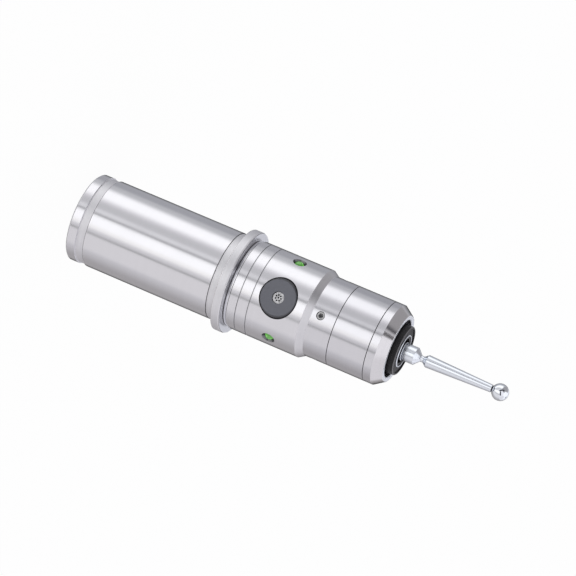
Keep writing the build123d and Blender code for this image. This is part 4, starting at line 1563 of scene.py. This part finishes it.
@dataclass
class StylusMount(SubAssembly):
    """Bumper, stylus holder, insulating tube and the stylus socket."""

    body: str = "stylus"
    fit: float = 0.02
    bumper_r: float = 8.9
    bumper_edge: float = 0.3
    bumper_rim: float = 0.6
    bumper_recess: float = 0.4
    flange_r: float = 7.92
    tube_r: float = 6.0
    flange_thickness: float = 0.8
    tube_edge: float = 0.15
    hub_r: float = 6.9
    hub_bore_r: float = 5.42
    pin_bore_r: float = 0.8
    pin_bore_reach: float = 8.0
    socket_r: float = 3.35
    socket_flange_r: float = 4.4
    socket_edge: float = 0.1
    thread_r: float = 1.52
    thread_depth: float = 6.4
    insulator_recess: float = 0.3
    well_r: float = 4.5
    well_depth: float = 1.3
    well_draft: float = 0.1
    flutes: int = 40
    flute_depth: float = 0.12
    flute_spare: float = 0.6

    def build(self) -> None:
        """Makes the four pieces."""
        back_z, face_z = span("bumper_ring")
        hub_z = span("stylus_holder")[0]
        self.build_bumper(back_z, face_z)
        self.build_holder(hub_z, back_z, face_z)
        self.build_insulator(face_z - self.insulator_recess)
        self.build_socket(hub_z)

    def build_bumper(self, back_z: float, face_z: float) -> None:
        """Makes the bumper between these heights."""
        top_r = self.bumper_r - self.bumper_edge
        inner_r = top_r - self.bumper_rim
        bore_r = self.tube_r + self.fit
        floor_z = face_z - self.bumper_recess
        seat_z = back_z + self.flange_thickness
        corners = profile(
            Surface.BLACK, (self.flange_r, back_z), (self.bumper_r, back_z, 0.08),
            Surface.EDGE, (self.bumper_r, face_z - self.bumper_edge, 0.05),
            Surface.BLACK, (top_r, face_z, 0.05), (inner_r, face_z, 0.08),
            (inner_r, floor_z, 0.06), (bore_r, floor_z), (bore_r, seat_z), (self.flange_r, seat_z),
        )  # fmt: skip
        # The rounded rim gets a painted highlight.
        coats = {Surface.BLACK: "black_plastic", Surface.EDGE: "bumper_rim_painted_highlight"}
        self.settle(self.turned("bumper_turned", corners, coats), "black_plastic", "bumper_ring")

    def build_holder(self, hub_z: float, back_z: float, face_z: float) -> None:
        """Makes the hub that tilts, with its flange, tube and pin bore.

        Args:
            hub_z: Height of the hub's rear face.
            back_z: Height of the flange's rear face.
            face_z: Height of the tube's front.
        """
        flange_r = self.flange_r - self.fit
        flange_z = back_z + self.flange_thickness
        corners = profile(
            (self.hub_bore_r, hub_z), (self.hub_r, hub_z, 0.15), (self.hub_r, back_z, 0.1),
            (flange_r, back_z, 0.1), (flange_r, flange_z, 0.1), (self.tube_r, flange_z, 0.1),
            (self.tube_r, face_z - self.tube_edge, 0.05),
            (self.tube_r - self.tube_edge, face_z, 0.05),
            Surface.BORED, (self.hub_bore_r, face_z, 0.05),
        )  # fmt: skip
        reach, place = self.pin_bore_reach, facing(0, (hub_z + back_z) / 2)
        bore = self.drill(self.pin_bore_r, -reach, reach, "bored_steel_and_shade", place, 32)
        coats = {Surface.SATIN: "polished_steel", Surface.BORED: "bored_steel_and_shade"}
        piece = self.turned("stylus_holder_turned", corners, coats, cutters=[bore])
        self.settle(piece, "polished_steel", "stylus_holder")

    def build_insulator(self, front: float) -> None:
        """Makes the tube between holder and socket, with a well round the socket."""
        low = span("insulating_tube")[0]
        inner, outer = self.socket_r + self.fit, self.hub_bore_r - self.fit
        well_z = front - self.well_depth
        corners = profile(
            (inner, low), (outer, low), (outer, front, 0.08), (self.well_r, front, 0.1),
            (self.well_r - self.well_draft, well_z, 0.05), (inner, well_z),
        )  # fmt: skip
        coats = {Surface.SATIN: "black_plastic"}
        piece = self.turned("insulating_tube_moulded", corners, coats)
        self.settle(piece, "black_plastic", "insulating_tube")

    def build_socket(self, hub_z: float) -> None:
        """Makes the stylus socket with its fluted front; its flange seats at this height."""
        back_z, front_z = span("stylus_socket")
        knurl_z = front_z - self.well_depth - self.flute_spare
        floor_z = front_z - self.thread_depth
        corners = profile(
            (0, back_z), (self.socket_flange_r, back_z, 0.1), (self.socket_flange_r, hub_z, 0.05),
            (self.socket_r, hub_z), (self.socket_r, knurl_z),
            (self.socket_r, front_z - self.socket_edge),
            (self.socket_r - self.socket_edge, front_z),
            Surface.BORED, (self.thread_r, front_z), (self.thread_r, floor_z), (0, floor_z),
        )  # fmt: skip
        coats = {Surface.SATIN: "polished_steel", Surface.BORED: "bored_steel_and_shade"}
        piece = self.turned("stylus_socket_fluted", corners, coats, self.flutes * 6)
        for vertex in piece.data.vertices:
            reach = vertex.co.xy.length / MM
            above = vertex.co.z / MM - knurl_z > self.socket_edge / 2
            if above and reach > self.socket_r - 2 * self.socket_edge:
                turn = math.atan2(vertex.co.y, vertex.co.x) * self.flutes
                vertex.co.xy *= 1 - self.flute_depth * (0.5 - 0.5 * math.cos(turn)) / reach
        piece.data.normals_split_custom_set([(0, 0, 0)] * len(piece.data.loops))
        self.settle(piece, "polished_steel", "stylus_socket")


@dataclass
class Stylus(SubAssembly):
    """Stem and ball."""

    body: str = "stylus"
    thread_r: float = 1.5
    thread_length: float = 6.2
    base_r: float = 3.1
    base_length: float = 4.5
    base_edge: float = 0.2
    cone_length: float = 1.8
    neck_r: float = 1.1
    neck_length: float = 1.0
    flare_length: float = 1.4
    flare_r: float = 2.24
    taper_length: float = 24.1
    tip_r: float = 1.37
    pin_r: float = 0.8
    ball_r: float = 3.0
    ball_parts: int = 64
    bore_r: float = 0.82
    bore_spare: float = 0.2

    def build(self) -> None:
        """Makes the stem and the ball."""
        low, high = span("stylus_stem")
        stem_z = low + self.thread_length
        cone_z = stem_z + self.base_length
        neck_z = cone_z + self.cone_length
        flare_z = neck_z + self.neck_length
        taper_z = flare_z + self.flare_length
        tip_z = taper_z + self.taper_length
        stem = profile(
            (0, low), (self.thread_r, low), (self.thread_r, stem_z), (self.base_r, stem_z, 0.08),
            (self.base_r, cone_z - self.base_edge, 0.1),
            (self.base_r - self.base_edge, cone_z, 0.1), (self.neck_r, neck_z, 0.35),
            (self.neck_r, flare_z, 0.5), (self.flare_r, taper_z, 0.15),
            Surface.JOINT, (self.tip_r, tip_z, 0.12), (self.pin_r, tip_z),
            Surface.SATIN, (self.pin_r, high), (0, high),
        )  # fmt: skip
        coats = {Surface.SATIN: "polished_steel", Surface.JOINT: "joint_shadow"}
        piece = self.turned("stylus_stem_turned", stem, coats, 128)
        self.settle(piece, "polished_steel", "stylus_stem")
        self.build_ball(high + self.bore_spare)

    def build_ball(self, bore_end: float) -> None:
        """Makes the ball with a blind bore up to this height."""
        top = span("stylus_ball")[1]
        centre = top - self.ball_r
        start = math.asin(self.bore_r / self.ball_r)
        step = (math.pi - start) / self.ball_parts
        outline = []
        for turn in (start + step * part for part in range(self.ball_parts)):
            outline.append((self.ball_r * math.sin(turn), centre - self.ball_r * math.cos(turn)))
        corners = profile((0, bore_end), (self.bore_r, bore_end), *outline, (0, top))
        coats = {Surface.SATIN: "lapped_steel"}
        piece = self.turned("stylus_ball_lapped", corners, coats, 128)
        shade_as_ball(piece.data, Vector((0, 0, centre * MM)), self.ball_r)
        self.settle(piece, "mirror_steel", "stylus_ball")


@dataclass
class InnerPieces:
    """CAD nodes that keep their shape and get a material."""

    looks: Finishes

    def build(self) -> None:
        """Gives each shown node the finish of its material slot."""
        slots = {part["node"]: part["material_slot"] for part in frame["record"]["subparts"]}
        for name, node in frame["nodes"].items():
            if not node.hide_render:
                slot = slots[name]
                node.data.materials.clear()
                node.data.materials.append(self.looks[RENAMED_LOOKS.get(slot, slot)])
                LOG.info("%s dressed", name)


# ---- Studio ----


@dataclass(frozen=True)
class Panel:
    """A soft card, lamp or dark flag of the studio, in degrees as the instrument sees it.

    Attributes:
        azimuth: Middle of the panel, from -Y towards +X.
        half_width: Half of its full-strength width.
        softness: Width of each fading side.
        colour: Its light.
        low: Elevation of its lower side.
        high: Elevation of its upper side.
        slope: Width of the fading upper and lower sides.
        tilt: How far it is turned in its own plane.
    """

    azimuth: float
    half_width: float
    softness: float
    colour: Colour
    low: float = -75.0
    high: float = 8.0
    slope: float = 8.0
    tilt: float = 0.0

    def inputs(self) -> dict[str, float | Colour]:
        """What goes into its node."""
        tilt = math.radians(self.tilt)
        return {
            "Middle": self.azimuth,
            "Height": (self.low + self.high) / 2,
            "HalfWidth": self.half_width,
            "HalfHeight": (self.high - self.low) / 2,
            "Softness": self.softness,
            "Slope": self.slope,
            "Cosine": math.cos(tilt),
            "Sine": math.sin(tilt),
            "Light": self.colour,
        }


PANELS = (
    Panel(60, 90, 20, (0.80, 0.785, 0.815), 10, 90),
    Panel(180, 60, 20, (1.05, 1.06, 1.1), 42, 90),
    Panel(10, 32, 30, (0.95, 0.94, 0.97), 10, 90),
    Panel(0, 180, 10, (1.1, 1.1, 1.12), 66, 90),
    Panel(-98, 47, 10, (0.37, 0.36, 0.37), 12, 60, 6),
    Panel(-31, 6, 4, (0.14, 0.135, 0.14), 40, 60, 6),
    Panel(180, 24, 14, (0.85, 0.85, 0.9), -4, 34),
    Panel(0, 180, 10, (0.70, 0.69, 0.71)),
    Panel(150, 20, 55, (0.43, 0.415, 0.42)),
    Panel(58, 18, 14, (0.80, 0.785, 0.795)),
    Panel(-130, 28, 14, (0.42, 0.425, 0.45)),
    Panel(-104, 3, 16, (0.60, 0.605, 0.62)),
    Panel(180, 9, 28, (0.045, 0.045, 0.045)),
    Panel(-75, 7, 22, (1.25, 1.25, 1.25)),
    Panel(-39, 3, 8, (0.64, 0.64, 0.65)),
    Panel(-24, 2, 6, (0.84, 0.84, 0.85)),
    Panel(-8, 4, 2, (1.0, 1.0, 1.0)),
    Panel(-16, 1.2, 2.5, (0.5, 0.5, 0.51)),
    Panel(14, 3, 13, (1.13, 1.12, 1.1)),
    Panel(2, 7, 8, (1.25, 1.25, 1.25)),
    Panel(35.5, 1.5, 2.5, (0.46, 0.46, 0.46)),
    Panel(-36, 34, 5, (0.05, 0.05, 0.06), 15, 29, 4, 132.4),
    Panel(18, 26, 5, (0.05, 0.05, 0.06), 14, 26, 4, 16.0),
    Panel(155, 7, 4, (0.08, 0.08, 0.09), 38, 50, 4),
)


def faded(group: Group, distance: bpy.types.NodeSocket) -> bpy.types.NodeSocket:
    """A smooth fall from one to zero as a distance goes from zero to one."""
    limits = {"Value": distance, "To Min": 1.0, "To Max": 0.0}
    ramp = group.add("MapRange", limits, interpolation_type="SMOOTHSTEP")
    return ramp.outputs["Result"]


def panel_group() -> bpy.types.ShaderNodeTree:
    """One panel laid over what is behind it."""
    numbers = ("Azimuth", "Elevation", "Middle", "Height", "HalfWidth", "HalfHeight")
    numbers += ("Softness", "Slope", "Cosine", "Sine")
    inputs = {"Behind": "Color", **dict.fromkeys(numbers, 0.0), "Light": "Color"}
    group = Group("studio_panel", **inputs)
    given, maths = group.given, group.maths
    apart = maths("WRAP", maths("SUBTRACT", given["Azimuth"], given["Middle"]), 180.0, -180.0)
    over = maths("SUBTRACT", given["Elevation"], given["Height"])
    cosine, sine = given["Cosine"], given["Sine"]
    along = maths("ADD", maths("MULTIPLY", apart, cosine), maths("MULTIPLY", over, sine))
    beside = maths("SUBTRACT", maths("MULTIPLY", over, cosine), maths("MULTIPLY", apart, sine))
    beyond = maths("SUBTRACT", maths("ABSOLUTE", along), given["HalfWidth"])
    outside = maths("SUBTRACT", maths("ABSOLUTE", beside), given["HalfHeight"])
    across = faded(group, maths("DIVIDE", beyond, given["Softness"]))
    upright = faded(group, maths("DIVIDE", outside, given["Slope"]))
    share = maths("MULTIPLY", across, upright)
    return group.give(Light=group.mix(share, given["Behind"], given["Light"]))


@dataclass
class Studio:
    """Light, floor and camera."""

    room: Colour = (0.5, 0.5, 0.51)
    backdrop: Colour = (0.995, 0.995, 0.995)
    camera_place: tuple[float, float, float] = (0.0, -1.04078, 0.36245)
    camera_azimuth: float = 0.2423
    camera_elevation: float = 15.342
    camera_roll: float = 112.976
    lens: float = 196.375
    sensor: float = 36.0
    floor_half: float = 6.0
    floor_drop: float = 0.0001

    def build(self) -> None:
        """Makes the world, the floor and the camera."""
        self.light()
        self.floor()
        self.camera()
        bpy.context.scene.view_settings.view_transform = "Standard"

    def light(self) -> None:
        """Builds the world from its panels, each laid over those before it."""
        world = bpy.data.worlds.new("studio")
        bpy.context.scene.world = world
        world.use_nodes = True
        nodes = Nodes(world.node_tree)
        direction = nodes.add("TexCoord").outputs["Generated"]
        x, y, z = nodes.add("SeparateXYZ", {"Vector": direction}).outputs
        azimuth = nodes.maths("ARCTAN2", x, nodes.maths("MULTIPLY", y, -1.0))
        seen = {
            "Azimuth": nodes.maths("DEGREES", azimuth),
            "Elevation": nodes.maths("DEGREES", nodes.maths("ARCSINE", z)),
        }
        group = panel_group()
        light: Input = self.room
        for panel in PANELS:
            inputs = {"Behind": light, **seen, **panel.inputs()}
            light = nodes.add("Group", inputs, node_tree=group).outputs["Light"]
        by_camera = nodes.add("LightPath").outputs["Is Camera Ray"]
        background = nodes.tree.nodes["Background"].inputs["Color"]
        nodes.feed(background, nodes.mix(by_camera, light, self.backdrop))

    def floor(self) -> None:
        """Lays a plain pale floor that only the camera sees."""
        half = self.floor_half
        corners = ((-half, -half), (half, -half), (half, half), (-half, half))
        mesh = bpy.data.meshes.new("floor")
        mesh.from_pydata([(x, y, -self.floor_drop) for x, y in corners], [], [(0, 1, 2, 3)])
        floor = shown("floor", mesh)
        for ray in ("diffuse", "glossy", "transmission", "shadow"):
            setattr(floor, f"visible_{ray}", False)
        constants = {
            "Base Color": (0.06, 0.06, 0.06),
            "Specular IOR Level": 0.0,
            "Roughness": 1.0,
            "Emission Color": self.backdrop,
            "Emission Strength": 0.95,
        }
        mesh.materials.append(Sheet("floor", constants).material)

    def camera(self) -> None:
        """Sets the camera at the photograph's viewing angle."""
        data = bpy.data.cameras.new("camera")
        data.lens = self.lens
        data.sensor_width = self.sensor
        camera = bpy.data.objects.new("camera", data)
        bpy.context.scene.collection.objects.link(camera)
        camera.matrix_world = (
            Matrix.Translation(self.camera_place)
            @ Matrix.Rotation(math.radians(self.camera_azimuth), 4, "Z")
            @ Matrix.Rotation(math.radians(90 - self.camera_elevation), 4, "X")
            @ Matrix.Rotation(math.radians(self.camera_roll), 4, "Z")
        )
        bpy.context.scene.camera = camera


def main() -> None:
    logging.basicConfig(level=logging.INFO, format="%(name)s: %(message)s")
    looks = Finishes(Effects())
    for part in (
        Shank(looks),
        BatteryPlug(looks),
        Barrel(looks),
        SounderFront(looks),
        SetScrews(looks),
        Lamps(looks),
        Springs(looks),
        Nose(looks),
        StylusMount(looks),
        Stylus(looks),
        InnerPieces(looks),
    ):
        part.build()
    Studio().build()


if __name__ == "__main__":
    main()
